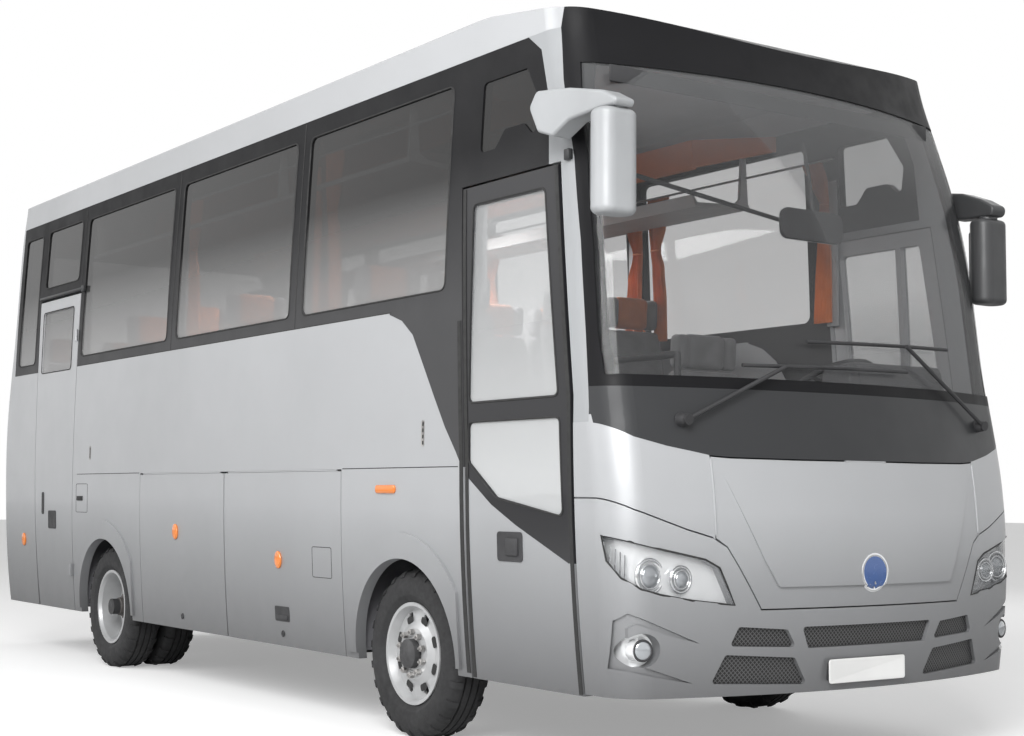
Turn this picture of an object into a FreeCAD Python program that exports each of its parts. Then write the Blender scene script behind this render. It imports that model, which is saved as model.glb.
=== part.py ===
import FreeCAD, Part
import math
import os

V = FreeCAD.Vector
os.makedirs("parts", exist_ok=True)

# Driving dimensions, millimetres. Front towards -Y, +X is the vehicle's left, Z up from the road.
# Y is counted from the front axle while building and moved to the middle of the body on export.
Y_MIDDLE = 1975.0
HALF_WIDTH = 1185.0
WALL = 45.0
SEAM = 6.0
SEAT = 0.3
DOOR_SEAM = 12.0
PILLAR_SEAM = 17.0
SKIRT_Z, SEAM_Z, WAIST_Z, BAND_Z = 325.0, 1235.0, 1967.0, 3065.0
SIDE_IN_UP, SIDE_IN_LOW = 60.0, 45.0
# Body outline heights with the nose and tail positions at each.
NOSE = [(250, -1750), (325, -1755), (643, -1786), (962, -1786), (1235, -1759), (1638, -1684),
        (2150, -1618), (2699, -1482), (3065, -1350), (3400, -1190)]
TAIL = [5690, 5700, 5730, 5745, 5760, 5765, 5705, 5685, 5675, 5640]
NOSE_R, NOSE_CORNER_R, TAIL_CORNER_R = 3300.0, 180.0, 130.0
# Roof cross profile (x, z, offset direction x, z) and long profile (y, z, dy, dz).
SHOULDER = [(1230, 2849, 0.95, 0.0), (1193, 3148, 0.83, 0.56), (1049, 3267, 0.39, 0.92)]
CROWN_Z = 3290.0
ROOF_FRONT = [(-1470, 2960, -0.82, 0.57), (-1237, 3133, -0.4, 0.92), (-1098, 3156, -0.1, 1.0),
              (-300, 3271, -0.1, 1.0)]
ROOF_REAR = [(5000, 3345, 0.0, 1.0), (5480, 3270, 0.4, 0.9), (5690, 3130, 0.8, 0.6),
             (5760, 2960, 1.0, 0.2)]
FAR = 4000.0

# Front door, right side (y, z).
DOOR_REAR = [(-541, 310), (-529, 1270), (-455, 2480)]
DOOR_FRONT = [(-1320, 310), (-1287, 1510), (-1161, 2480)]
DOOR_TOP, DOOR_BOTTOM = 2470.0, 325.0
DOOR_PANE_UP = [(-546, 2383), (-1070, 2380), (-1196, 1519), (-555, 1517)]
DOOR_PANE_LOW = [(-558, 1425), (-1205, 1426), (-1228, 1032), (-773, 1105), (-561, 1256)]
ARM_POST = (-1078.0, -1222.0)
ARM_LEAF = (-1078.0, -800.0)
ARM_Z = (700.0, 1470.0)
POST_R, ARM_R = 17.0, 14.0
# Rear door, right side.
RDOOR_FRONT = [(4268, 325), (4268, 1230), (4268, 2470)]
RDOOR_REAR = [(4951, 325), (5011, 1230), (5059, 2470)]
RDOOR_PANE = [(4385, 1960), (4960, 1960), (4972, 2385), (4385, 2385)]
RDOOR_AXIS, RDOOR_HINGE_Z = (-1186.0, 4264.0), (560.0, 2140.0)
# Driver's door, left side.
DDOOR = [(-1270, 760), (-560, 760), (-545, 1270), (-470, 2440), (-1165, 2440), (-1285, 1510)]
DDOOR_AXIS, DDOOR_HINGE_Z = (1190.0, -1273.0), (800.0, 1380.0)
DDOOR_PANE = [(-610, 1560), (-555, 2360), (-1085, 2360), (-1200, 1560)]
# Windows (y0, y1, z0, z1).
BIG_WINDOWS = [(-330, 1030, 2035, 2965), (1180, 2630, 2035, 2965), (2770, 4200, 2035, 2965)]
REAR_PANE = (5120, 5470, 2035, 2965)
LEFT_PANE = (4330, 4990, 2035, 2965)
SMALL_PANE = (4330, 4990, 2570, 2975)
WINDOW_R = 45.0
DOOR_HEAD_PANE = [(-575, 2615), (-575, 2930), (-905, 2930), (-1010, 2760), (-985, 2615), (-900, 2690),
                  (-760, 2690), (-690, 2615)]
HEAD_EDGE = [(-900, 3065), (-1000, 2990), (-1075, 2760), (-1095, 2480)]
HEAD_Z, BAND_END = 2480.0, 5540.0
SWOOSH = [(-430, 1960), (145, 1959), (31, 1921), (-69, 1848), (-169, 1700), (-265, 1556), (-360, 1415),
          (-449, 1305), (-500, 1235)]
GLASS_T, GLASS_IN = 8.0, 6.0
# Windshield and cowl.
PILLAR_EDGE = [(-1393, 1543), (-1369, 1756), (-1323, 2134), (-1259, 2487), (-1157, 2829), (-1105, 3065)]
CLEAR_EDGE = [(-1454, 1588), (-1418, 1753), (-1374, 2130), (-1314, 2481), (-1206, 2892)]
BROW_LOW_Z, SHIELD_TOP_Z, SHIELD_LOW_Z, COWL_TOP_Z = 2960.0, 2900.0, 1590.0, 1543.0
COWL_LOW = [(-1181, 1432), (-1180, 1398), (-1082, 1343), (-955, 1309), (-780, 1275), (-692, 1269),
            (-361, 1265)]
# Lower face (x, z), right half.
HOOD_SEAM = [(-1188, 1104), (-1177, 1098), (-1104, 1059), (-1005, 1021), (-900, 982), (-792, 950)]
FLAP_EDGE = [(-734, 914), (-688, 843), (-581, 667)]
FLAP_AXIS, FLAP_PIN_R, FLAP_PIN_L = (-1752.0, 1261.0), 3.7, 240.0
CREASE = [(-742, 1222), (-656, 1040), (-570, 865), (-506, 758)]
CREASE_TOP, CREASE_TILT, CREASE_R = (-1761.0, 1222.0), -1.5, 20.0
# Groove round each fog lamp (x, z), right side.
FOG_GROOVE = [(-842, 544), (-1000, 611), (-1122, 664), (-1152, 634), (-1146, 449), (-1010, 418), (-861, 390),
              (-1005, 440), (-1108, 474), (-1116, 606), (-1094, 622), (-985, 582)]
FOG_GROOVE_DEEP = 12.0
MESH_IN, MESH_T, GRILLE_R = 16.0, 8.0, 12.0
LAMP_HOLE = [(-1178, 960), (-1118, 938), (-1004, 908), (-826, 868), (-767, 836), (-700, 690), (-882, 711),
             (-1006, 734), (-1083, 756), (-1141, 798), (-1170, 863)]
LAMP_BIG, LAMP_SMALL = (-1030.0, 803.0, 60.0), (-905.0, 790.0, 42.0)
FOG = (-1068.0, 521.0, 42.0, 66.0)
GRILLES = [[(-678, 605), (-452, 589), (-404, 517), (-714, 530)],
           [(-730, 497), (-408, 476), (-340, 367), (-785, 386)],
           [(678, 605), (452, 589), (404, 517), (714, 530)],
           [(730, 497), (408, 476), (340, 367), (785, 386)],
           [(-380, 597), (380, 597), (345, 511), (-345, 511)]]
PLATE = (235.0, 362.0, 462.0)
BUMPER_LOW_Z = 335.0
# Wheels, axles and arches.
WHEELBASE = 3690.0
AXLE_Y = 15.0
TYRE_R, TYRE_W, RIM_R = 383.5, 215.0, 222.0
FRONT_X, REAR_X = 1020.0, (1020.0, 775.0)
KINGPIN_X = 850.0
HUB_Z = TYRE_R
ARCH_R, ARCH_TOP = 436.0, 821.0
HOUSE_FRONT, HOUSE_REAR, HOUSE_IN, HOUSE_T = 480.0, 470.0, (600.0, 575.0), 6.0
AXLE_NOTCH = [(50.0, 430.0), (75.0, 470.0)]
FLARE_W, FLARE_OUT = 120.0, 12.0
HINGE_R = 4.0
LID_AXIS = (5762.0, 1696.0)
LOCKERS = [(570, 1900), (1900, 3100)]
LOCKER_AXIS_X, LOCKER_AXIS_Z = 1182.0, 1230.7
# Chassis.
RAIL_X, RAIL_T, RAIL_Z = 380.0, 60.0, (540.0, 720.0)
CROSS_H, CROSS_W, POST_W = 60.0, 70.0, 50.0
RAIL_Y = (-1540.0, 5480.0)
CROSS_Y = [-1520.0, 260.0, 1250.0, 2450.0, 3250.0, 4350.0, 5420.0]
OUTRIGGER_X, OUTRIGGER_Y = 1080.0, [560.0, 1240.0, 1900.0, 2560.0, 3120.0, 4300.0, 5100.0]
POST_Y = [-1350.0, -600.0] + OUTRIGGER_Y
PAD, PAD_T, PAD_Y = 80.0, 25.0, 5200.0
BEAM_X, BEAM_Y, BEAM_T, BEAM_Z, HORN_L = 960.0, (-1560.0, -1665.0), 60.0, (420.0, 560.0), 160.0
TOW_R, TOW_Z, TOW_T, TOW_W, TOW_DROP, TOW_Y = 20.0, 300.0, 24.0, 60.0, 60.0, 5510.0
# Floor: saloon, cab, engine cover, step wells.
FLOOR_Z, FLOOR_T, FLOOR_W, FLOOR_END = 950.0, 40.0, 1135.0, 5690.0
CAB_Z, CAB_Y, CAB_W = 830.0, (-1400.0, -500.0), 1118.0
COVER_X, COVER_Y, COVER_Z, COVER_T = 400.0, (-1380.0, -300.0), 1260.0, 20.0
WELL_Z, STEP_X, STEP_Y, STEP_T, STEP_WALL_Z = 360.0, 500.0, (-1290.0, -510.0), 10.0, 1080.0
STEPS = [(900.0, 600.0), (700.0, 830.0)]
RWELL_X, RWELL_Y, RWELL_STEP = 640.0, (4240.0, 4990.0), (860.0, 630.0)
SWEEP_X, DOOR_SWEEP = 1085.0, 50.0
BAY_T, BAY_Z, BAY_X, BAY_GAP = 10.0, 345.0, (440.0, 1085.0), 15.0
# Roof unit and hatch.
UNIT_Y, UNIT_X, UNIT_TOP = (2560.0, 5150.0), 745.0, 3440.0
HATCH = (1300.0, 1960.0, 330.0)
# Mirrors: housing centre, arm (y, z) and foot (y0, y1, z0, z1), right and left.
MIRROR_H, MIRROR_R, MIRROR_EDGE_R = (92.0, 62.0, 205.0), 56.0, 26.0
MIRROR_NECK_R, MIRROR_NECK_L = 46.0, 40.0
MIRROR_ARM_R, MIRROR_ARM_W, MIRROR_ARM_EDGE_R = 30.0, 100.0, 12.0
MIRRORS = [((-1240.0, -1625.0, 2392.0),
            [(-1130, 2690), (-1180, 2752), (-1400, 2722), (-1610, 2672), (-1700, 2625), (-1690, 2600),
             (-1560, 2600), (-1400, 2592), (-1290, 2545), (-1190, 2580)], (-1210.0, -1150.0, 2610.0, 2700.0)),
           ((1242.0, -1405.0, 2245.0),
            [(-1140, 2560), (-1180, 2612), (-1290, 2594), (-1400, 2552), (-1480, 2505), (-1470, 2462),
             (-1340, 2462), (-1230, 2470), (-1180, 2500)], (-1230.0, -1170.0, 2500.0, 2580.0))]
# Seats.
SEAT_W, SEAT_PITCH = 430.0, 745.0
SEAT_X = (250.0, 684.0)
LEFT_ROWS, RIGHT_ROWS, BENCH_Y = 6, 5, 5170.0
SEAT_PROFILE = [(-230, 390), (-230, 500), (170, 470), (290, 1130), (380, 1125), (290, 390)]
HEADREST = [(280, 1130.9), (278, 1290), (372, 1300), (390, 1124.7)]


def put(name, shape):
    moved = shape.copy()
    moved.translate(V(0, -Y_MIDDLE, 0))
    moved.exportStep("parts/" + name + ".step")


def box(x0, x1, y0, y1, z0, z1):
    return Part.makeBox(abs(x1 - x0), abs(y1 - y0), abs(z1 - z0),
                        V(min(x0, x1), min(y0, y1), min(z0, z1)))


def point(plane, a, b, at):
    return {"yz": V(at, a, b), "xz": V(a, at, b), "xy": V(a, b, at)}[plane]


def prism(items, plane, low, high):
    pts = [point(plane, p[-2], p[-1], low) for p in items]
    edges = []
    for i, item in enumerate(items):
        start = pts[i - 1]
        if len(item) == 4:
            mid = point(plane, item[0], item[1], low)
            edges.append(Part.Arc(start, mid, pts[i]).toShape())
        elif start.distanceToPoint(pts[i]) > SEAM / 100:
            edges.append(Part.makeLine(start, pts[i]))
    face = Part.Face(Part.Wire(Part.__sortEdges__(edges)))
    direction = point(plane, 0, 0, high - low)
    return face.extrude(direction)


def rounded(pts, radius):
    items = []
    for i, p in enumerate(pts):
        a, b = pts[i - 1], pts[(i + 1) % len(pts)]
        ua, ub = unit(p, a), unit(p, b)
        cos_t = max(-1.0, min(1.0, ua[0] * ub[0] + ua[1] * ub[1]))
        half = math.acos(cos_t) / 2
        if half > 0.48 * math.pi:
            items.append(p)
            continue
        cut = min(radius / math.tan(half), 0.45 * math.dist(p, a), 0.45 * math.dist(p, b))
        r = cut * math.tan(half)
        bis = unit((0, 0), (ua[0] + ub[0], ua[1] + ub[1]))
        deep = r / math.sin(half) - r
        items.append((p[0] + ua[0] * cut, p[1] + ua[1] * cut))
        items.append((p[0] + bis[0] * deep, p[1] + bis[1] * deep,
                      p[0] + ub[0] * cut, p[1] + ub[1] * cut))
    return items


def unit(a, b):
    d = math.dist(a, b)
    return ((b[0] - a[0]) / d, (b[1] - a[1]) / d)


def slab(rect, x0, x1, radius=0.0):
    y0, y1, z0, z1 = rect
    pts = [(y0, z0), (y1, z0), (y1, z1), (y0, z1)]
    return prism(rounded(pts, radius) if radius else pts, "yz", x0, x1)


def cylinder(radius, length, base, direction):
    return Part.makeCylinder(radius, length, V(*base), V(*direction))


def tube(points, radius):
    out = None
    for a, b in zip(points, points[1:]):
        va, vb = V(*a), V(*b)
        piece = Part.makeCylinder(radius, va.distanceToPoint(vb), va, vb - va)
        ball = Part.makeSphere(radius, vb) if b != points[-1] else None
        out = piece if out is None else out.fuse(piece)
        out = out.fuse(ball) if ball else out
    return out


def mirrored(shape):
    return shape.mirror(V(0, 0, 0), V(1, 0, 0))


def both(shape):
    return Part.makeCompound([shape, mirrored(shape)])


def group(*shapes):
    return Part.makeCompound(list(shapes))


def grown(pts, by):
    cx = sum(p[0] for p in pts) / len(pts)
    cz = sum(p[1] for p in pts) / len(pts)
    out = []
    for i, p in enumerate(pts):
        a, b = pts[i - 1], pts[(i + 1) % len(pts)]
        n1, n2 = normal(a, p, cx, cz), normal(p, b, cx, cz)
        k = 1 + n1[0] * n2[0] + n1[1] * n2[1]
        out.append((p[0] + by * (n1[0] + n2[0]) / k, p[1] + by * (n1[1] + n2[1]) / k))
    return out


def normal(a, b, cx, cz):
    u = unit(a, b)
    n = (u[1], -u[0])
    side = n[0] * ((a[0] + b[0]) / 2 - cx) + n[1] * ((a[1] + b[1]) / 2 - cz)
    return n if side > 0 else (-n[0], -n[1])


def half_width(z):
    if z > SEAM_Z:
        z = min(z, BAND_Z)
        return HALF_WIDTH - SIDE_IN_UP * ((z - SEAM_Z) / (BAND_Z - SEAM_Z)) ** 2
    return HALF_WIDTH - SIDE_IN_LOW * ((SEAM_Z - z) / (SEAM_Z - SKIRT_Z)) ** 2


def outline(w, nose, tail, z, t):
    rf, rc, rt = NOSE_R - t, NOSE_CORNER_R - t, TAIL_CORNER_R - t
    xc, cy = w - rc, nose + rf
    yc = cy - math.sqrt((rf - rc) ** 2 - xc ** 2)
    k = rf / (rf - rc)
    tx, ty = xc * k, cy + (yc - cy) * k
    ang = math.atan2(tx, cy - ty)
    mid = (math.pi / 2 + ang) / 2
    mx, my = xc + rc * math.sin(mid), yc - rc * math.cos(mid)
    s = math.sqrt(0.5)
    ux, uy = w - rt + rt * s, tail - rt + rt * s
    e = [Part.Arc(V(-tx, ty, z), V(0, nose, z), V(tx, ty, z)),
         Part.Arc(V(tx, ty, z), V(mx, my, z), V(w, yc, z)),
         Part.LineSegment(V(w, yc, z), V(w, tail - rt, z)),
         Part.Arc(V(w, tail - rt, z), V(ux, uy, z), V(w - rt, tail, z)),
         Part.LineSegment(V(w - rt, tail, z), V(rt - w, tail, z)),
         Part.Arc(V(rt - w, tail, z), V(-ux, uy, z), V(-w, tail - rt, z)),
         Part.LineSegment(V(-w, tail - rt, z), V(-w, yc, z)),
         Part.Arc(V(-w, yc, z), V(-mx, my, z), V(-tx, ty, z))]
    return Part.Wire([c.toShape() for c in e])


HULLS = {}


def envelope(t):
    """Closed body shape set in by t, made once for each t."""
    if t not in HULLS:
        HULLS[t] = make_envelope(t)
    return HULLS[t]


def make_envelope(t):
    wires = [outline(half_width(z) - t, y + t, tail - t, z, t)
             for (z, y), tail in zip(NOSE, TAIL)]
    hull = Part.makeLoft(wires, True, False)
    s = [(x - dx * t, z - dz * t) for x, z, dx, dz in SHOULDER]
    profile = [(-FAR, 0), (FAR, 0), (FAR, s[0][1]), s[0], s[1] + s[2],
               (0, CROWN_Z - t, -s[2][0], s[2][1]),
               (-s[1][0], s[1][1], -s[0][0], s[0][1]), (-FAR, s[0][1])]
    f = [(y - dy * t, z - dz * t) for y, z, dy, dz in ROOF_FRONT]
    r = [(y - dy * t, z - dz * t) for y, z, dy, dz in ROOF_REAR]
    long_profile = [(-FAR, 0), (2 * FAR, 0), (2 * FAR, r[3][1]), r[3], r[2] + r[1], r[0], f[3],
                    f[2], f[1] + f[0], (-FAR, f[0][1])]
    hull = hull.common(prism(profile, "xz", -FAR, 2 * FAR))
    return hull.common(prism(long_profile, "yz", -FAR, FAR))


def strip(edge_a, edge_b, by_a=0.0, by_b=0.0):
    """Area between two edges running upwards, each moved along Y."""
    return [(y + by_a, z) for y, z in edge_a] + [(y + by_b, z) for y, z in reversed(edge_b)]


def body_shells():
    skin = envelope(0.0).cut(envelope(WALL))
    glass = envelope(GLASS_IN).cut(envelope(GLASS_IN + GLASS_T))
    return skin, glass


def arch_cutter(y_axis):
    r = ARCH_R
    low = V(0, 0, 0)
    arch = cylinder(r, 2 * FAR, (-FAR, y_axis, HUB_Z), (1, 0, 0))
    return arch.fuse(box(-FAR, FAR, y_axis - r, y_axis + r, low.z, HUB_Z))


def arches():
    return arch_cutter(AXLE_Y).fuse(arch_cutter(WHEELBASE + AXLE_Y))


def side_zone(skin, pts, side=-1):
    low, high = (-FAR, -HALF_WIDTH / 2) if side < 0 else (HALF_WIDTH / 2, FAR)
    return skin.common(prism(pts, "yz", low, high))


def jamb(edge, by):
    """Door edge continued up to the band's top, moved along Y."""
    return [(y + by, z) for y, z in edge]


def front_zone_pts(low_z, top_z, pillar):
    """Side view of everything ahead of the pillar line."""
    return [(-FAR, low_z)] + [p for p in pillar] + [(-FAR, top_z)]


def make_roof(skin):
    zone = [(PILLAR_EDGE[-1][0] + SEAT, BAND_Z + SEAT), (2 * FAR, BAND_Z + SEAT),
            (2 * FAR, FAR), (PILLAR_EDGE[-1][0] + SEAT, FAR)]
    roof = skin.common(prism(zone, "yz", -FAR, FAR))
    y0, y1, half = HATCH
    roof = roof.cut(box(-half, half, y0, y1, BAND_Z, FAR))
    lid = prism(rounded([(-half - 35, y0 - 35), (half + 35, y0 - 35), (half + 35, y1 + 35),
                         (-half - 35, y1 + 35)], 60), "xy", CROWN_Z + 8, CROWN_Z + 48)
    lid = lid.fuse(cylinder(HINGE_R, 2 * half - 100, (50 - half, y0 - 40, CROWN_Z + 14), (1, 0, 0)))
    lid = lid.fuse(box(50 - half, half - 50, y0 - 40, y0 - 20, CROWN_Z + 14 - HINGE_R, CROWN_Z + 14 + HINGE_R))
    hook = box(60 - half, half - 60, y0 - 48, y0 - 36, CROWN_Z - 40, CROWN_Z + 14 - HINGE_R - SEAT)
    curb_out = box(-half, half, y0, y1, CROWN_Z - 70, CROWN_Z + 2)
    curb = curb_out.cut(box(-half + 15, half - 15, y0 + 15, y1 - 15, 0, FAR))
    put("roof_panel", roof.fuse(curb).fuse(hook))
    put("roof_hatch", lid)


def make_windshield(skin, glass):
    zone = [(-FAR, COWL_TOP_Z)] + PILLAR_EDGE + [(PILLAR_EDGE[-1][0], FAR), (-FAR, FAR)]
    frame = skin.common(prism(zone, "yz", -FAR, FAR))
    clear = [(-FAR, SHIELD_LOW_Z)] + [(y, z) for y, z in CLEAR_EDGE[1:]] + [(-1203, SHIELD_TOP_Z),
                                                                        (-FAR, SHIELD_TOP_Z)]
    clear.insert(1, (CLEAR_EDGE[0][0], SHIELD_LOW_Z))
    opening = prism(clear, "yz", -FAR, FAR)
    put("windshield_surround", frame.cut(opening))
    put("windshield", glass.common(opening))


def front_pillar(skin, seam):
    """Right pillar between windshield and door, its rear edge a seam ahead of the door."""
    pts = [(-1401 + SEAT, COWL_TOP_Z - 140), (-1401 + SEAT, 1460)]
    pts += [(y + SEAT, z) for y, z in PILLAR_EDGE]
    pts += [(y, z) for y, z in HEAD_EDGE] + [(DOOR_FRONT[2][0] - seam, HEAD_Z)]
    pts += [(DOOR_FRONT[1][0] - seam, DOOR_FRONT[1][1]), (DOOR_FRONT[1][0] - seam, COWL_TOP_Z - 140)]
    return side_zone(skin, pts)


def make_pillars(skin):
    right = front_pillar(skin, PILLAR_SEAM)
    seat_blocks = side_hinges(DDOOR_AXIS, DDOOR_HINGE_Z, 1)[1].cut(envelope(WALL / 2))
    left = mirrored(front_pillar(skin, DOOR_SEAM)).fuse(driver_door_frame(skin)).fuse(seat_blocks)
    put("front_pillars", group(right, left))


def driver_door_frame(skin):
    """Left side ahead of the front wheel: door surround, sill and head."""
    rear = [(rear_jamb(z) - SEAT, z) for z in (SKIRT_Z, 1270, 2480)]
    pts = rear + [(-1161 - DOOR_SEAM - 2, 2480), (-1287 - DOOR_SEAM - 2, 1510),
                  (-1290 - DOOR_SEAM + SEAT, COWL_TOP_Z - 140), (-1320 - DOOR_SEAM + SEAT, SKIRT_Z)]
    frame = side_zone(skin, pts, 1)
    return frame.cut(prism(DDOOR, "yz", 0, FAR))


def rear_jamb(z):
    """Body edge behind the front doors at a height."""
    (y0, z0), (y1, z1), (y2, z2) = DOOR_REAR
    if z < z1:
        return y0 + (y1 - y0) * (z - z0) / (z1 - z0) + DOOR_SEAM
    return y1 + (y2 - y1) * (z - z1) / (z2 - z1) + DOOR_SEAM


def cowl_zone(z_top):
    right = [(x, z) for x, z in COWL_LOW]
    left = [(-x, z) for x, z in reversed(COWL_LOW)]
    return [(-FAR, z_top), (-FAR, COWL_LOW[0][1])] + right + left + [(FAR, COWL_LOW[0][1]), (FAR, z_top)]


def make_cowl(skin):
    ahead = prism([(-FAR, 0), (-1401, 0), (-1401, 1460), (PILLAR_EDGE[0][0], COWL_TOP_Z - SEAT),
                   (-FAR, COWL_TOP_Z - SEAT)], "yz", -FAR, FAR)
    cowl = skin.common(ahead).common(prism(cowl_zone(COWL_TOP_Z), "xz", -FAR, 0))
    put("cowl_panel", cowl)


def flap_pts(by):
    top = 1275
    right = [(-783, top + 40), (-783, 948)] + FLAP_EDGE
    pts = right + [(-x, z) for x, z in reversed(right)]
    return grown(pts, by)


def lower_face(skin):
    """Everything ahead of the doors and below the cowl."""
    front = [(-FAR, BUMPER_LOW_Z), (-1320 - DOOR_SEAM, BUMPER_LOW_Z), (-1290 - DOOR_SEAM, COWL_TOP_Z - 140 - SEAT),
             (-1401, COWL_TOP_Z - 140 - SEAT), (-1401, 1460), (-FAR, 1460)]
    zone = skin.common(prism(front, "yz", -FAR, FAR))
    return zone.cut(prism(cowl_zone(FAR), "xz", -FAR, 0))


def seam_items(by):
    right = [(x, z + by) for x, z in HOOD_SEAM]
    return right, [(-x, z) for x, z in reversed(right)]


def make_front(skin):
    face = lower_face(skin)
    right, left = seam_items(SEAM)
    above = [(-FAR, FAR), (-FAR, 1104 + SEAM)] + right + [(-783, 944), (-783, FAR)]
    corner = face.common(prism(above, "xz", -FAR, 0))
    put("corner_panels", both(corner))
    flap_zone = prism(flap_pts(-SEAM), "xz", -FAR, -1200)
    flap = face.common(flap_zone).common(prism(cowl_cap(), "xz", -FAR, 0))
    flap = flap.fuse(raised_middle())
    y, z = FLAP_AXIS
    flap = flap.fuse(cylinder(FLAP_PIN_R, FLAP_PIN_L, (-FLAP_PIN_L / 2, y, z), (1, 0, 0)))
    put("front_flap", flap)
    r, l = seam_items(-SEAT)
    low_edge = [(-783, 944)] + FLAP_EDGE
    below = [(-FAR, 0), (-FAR, 1104 - SEAT)] + r + low_edge + [(-x, z) for x, z in reversed(low_edge)] + l
    below += [(FAR, 1104 - SEAT), (FAR, 0)]
    bumper = face.common(prism(below, "xz", -FAR, 0))
    for shape in front_holes():
        bumper = bumper.cut(shape)
    put("front_bumper", bumper)


def raised_middle():
    """Shallow shield that stands further out towards its lower edge."""
    tilted = envelope(0.0).copy()
    tilted.rotate(V(0, *CREASE_TOP), V(1, 0, 0), CREASE_TILT)
    zone = prism(rounded(CREASE + [(-x, z) for x, z in reversed(CREASE)], CREASE_R), "xz", -FAR, -HALF_WIDTH)
    return tilted.common(zone).cut(envelope(SEAT))


def cowl_cap():
    right = [(x, z - SEAM) for x, z in COWL_LOW[2:]]
    return [(-FAR, 0), (-FAR, 1330)] + right + [(-x, z) for x, z in reversed(right)] + [(FAR, 1330), (FAR, 0)]


def front_holes():
    holes = []
    for s in (1, -1):
        holes.append(prism([(s * x, z) for x, z in LAMP_HOLE], "xz", -FAR, -1440))
        holes.append(cylinder(FOG[3], 900, (s * FOG[0], -2200, FOG[1]), (0, 1, 0)))
        groove = envelope(-SEAM).cut(envelope(FOG_GROOVE_DEEP))
        holes.append(groove.common(prism([(s * x, z) for x, z in FOG_GROOVE], "xz", -FAR, -HALF_WIDTH)))
    for pts in GRILLES:
        holes.append(prism(rounded(pts, GRILLE_R), "xz", -FAR, -900))
    return holes


def bumper_beam():
    """Curved beam behind the bumper on two horns under the rails."""
    y0, y1, t = BEAM_Y[0], BEAM_Y[1], BEAM_T
    beam = prism([(-BEAM_X, y0), (0, y1, BEAM_X, y0), (BEAM_X, y0 + t), (0, y1 + t, -BEAM_X, y0 + t)],
                 "xy", *BEAM_Z)
    x0, x1 = RAIL_X - RAIL_T / 2, RAIL_X + RAIL_T / 2
    return [beam] + [box(s * x0, s * x1, y1, RAIL_Y[0] + HORN_L, BEAM_Z[0], RAIL_Z[0]).cut(horn_room())
                     for s in (-1, 1)]


def horn_room():
    """All ahead of the beam's inner face."""
    y0, y1, t = BEAM_Y[0], BEAM_Y[1], BEAM_T
    return prism([(-BEAM_X, -FAR), (BEAM_X, -FAR), (BEAM_X, y0 + t), (0, y1 + t, -BEAM_X, y0 + t)], "xy", 0, FAR)


def make_front_lamps(skin, glass):
    behind = envelope(WALL)
    deep = envelope(WALL + 90)
    inner = behind.cut(deep)
    tub = inner.common(prism(grown(LAMP_HOLE, 10), "xz", -FAR, -1430))
    bowls = []
    for x, z, r in (LAMP_BIG, LAMP_SMALL):
        tub = tub.cut(cylinder(r, 900, (x, -2200, z), (0, 1, 0)).common(envelope(WALL + 60)))
        bowls.append(cylinder(r - 2, 30, (x, -1545 if r > 50 else -1572, z), (0, 1, 0)))
    for bowl in bowls:
        tub = tub.fuse(bowl)
    cover = glass.common(prism(grown(LAMP_HOLE, -SEAT), "xz", -FAR, -1440))
    put("headlamp_covers", both(cover))
    fog = cylinder(FOG[3] + 8, 150, (FOG[0], -1600, FOG[1]), (0, 1, 0)).common(envelope(WALL + SEAT)).fuse(
        cylinder(FOG[2], 40, (FOG[0], -1580, FOG[1]), (0, 1, 0)))
    put("headlamps", group(tub, mirrored(tub), fog, mirrored(fog)))


def make_grille():
    mesh = envelope(MESH_IN).cut(envelope(MESH_IN + MESH_T))
    panels = [mesh.common(prism(rounded(grown(pts, -SEAT), GRILLE_R), "xz", -FAR, -HALF_WIDTH))
              for pts in GRILLES]
    put("grille_mesh", group(*panels))


def window_openings(side):
    rects = list(BIG_WINDOWS) + [REAR_PANE] + ([SMALL_PANE] if side < 0 else [LEFT_PANE])
    x0, x1 = (-FAR, 0) if side < 0 else (0, FAR)
    cuts = [slab(r, x0, x1, WINDOW_R) for r in rects]
    cuts.append(prism(rounded(DOOR_HEAD_PANE, 25), "yz", x0, x1))
    return cuts


def make_band(skin, glass):
    panes = []
    swoosh = side_swoosh(skin)
    low_y, top_y = rear_jamb(HEAD_Z), rear_jamb(BAND_Z)
    for side, name in ((-1, "window_band_right"), (1, "window_band_left")):
        head = side_zone(skin, [(y + SEAT, z) for y, z in HEAD_EDGE] + [(low_y, HEAD_Z), (top_y, BAND_Z)], side)
        band = side_zone(skin, [(BAND_END, WAIST_Z), (BAND_END, BAND_Z), (top_y, BAND_Z),
                                (rear_jamb(WAIST_Z), WAIST_Z)], side)
        if side < 0:
            band = band.cut(prism(rear_door_pts(DOOR_SEAM / 2), "yz", -FAR, 0))
        for o in window_openings(side):
            head, band = head.cut(o), band.cut(o)
            panes.append(glass.common(o))
        put(name, group(head, band, swoosh if side < 0 else mirrored(swoosh)))
    return panes


def rear_door_pts(gap):
    front = [(y - gap, z) for y, z in RDOOR_FRONT]
    rear = [(y + gap, z) for y, z in RDOOR_REAR]
    front[0], rear[0] = (front[0][0], 0), (rear[0][0], 0)
    if gap <= 0:
        front[0], rear[0] = (front[0][0], SKIRT_Z), (rear[0][0], SKIRT_Z)
    front[-1], rear[-1] = (front[-1][0], DOOR_TOP + gap), (rear[-1][0], DOOR_TOP + gap)
    return front + rear[::-1]


def side_swoosh(skin):
    pts = [(SWOOSH[1][0], WAIST_Z)] + SWOOSH[1:] + [(rear_jamb(SEAM_Z), SEAM_Z),
                                                    (rear_jamb(DOOR_REAR[1][1]), DOOR_REAR[1][1]),
                                                    (rear_jamb(WAIST_Z), WAIST_Z)]
    return side_zone(skin, pts)


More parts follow.
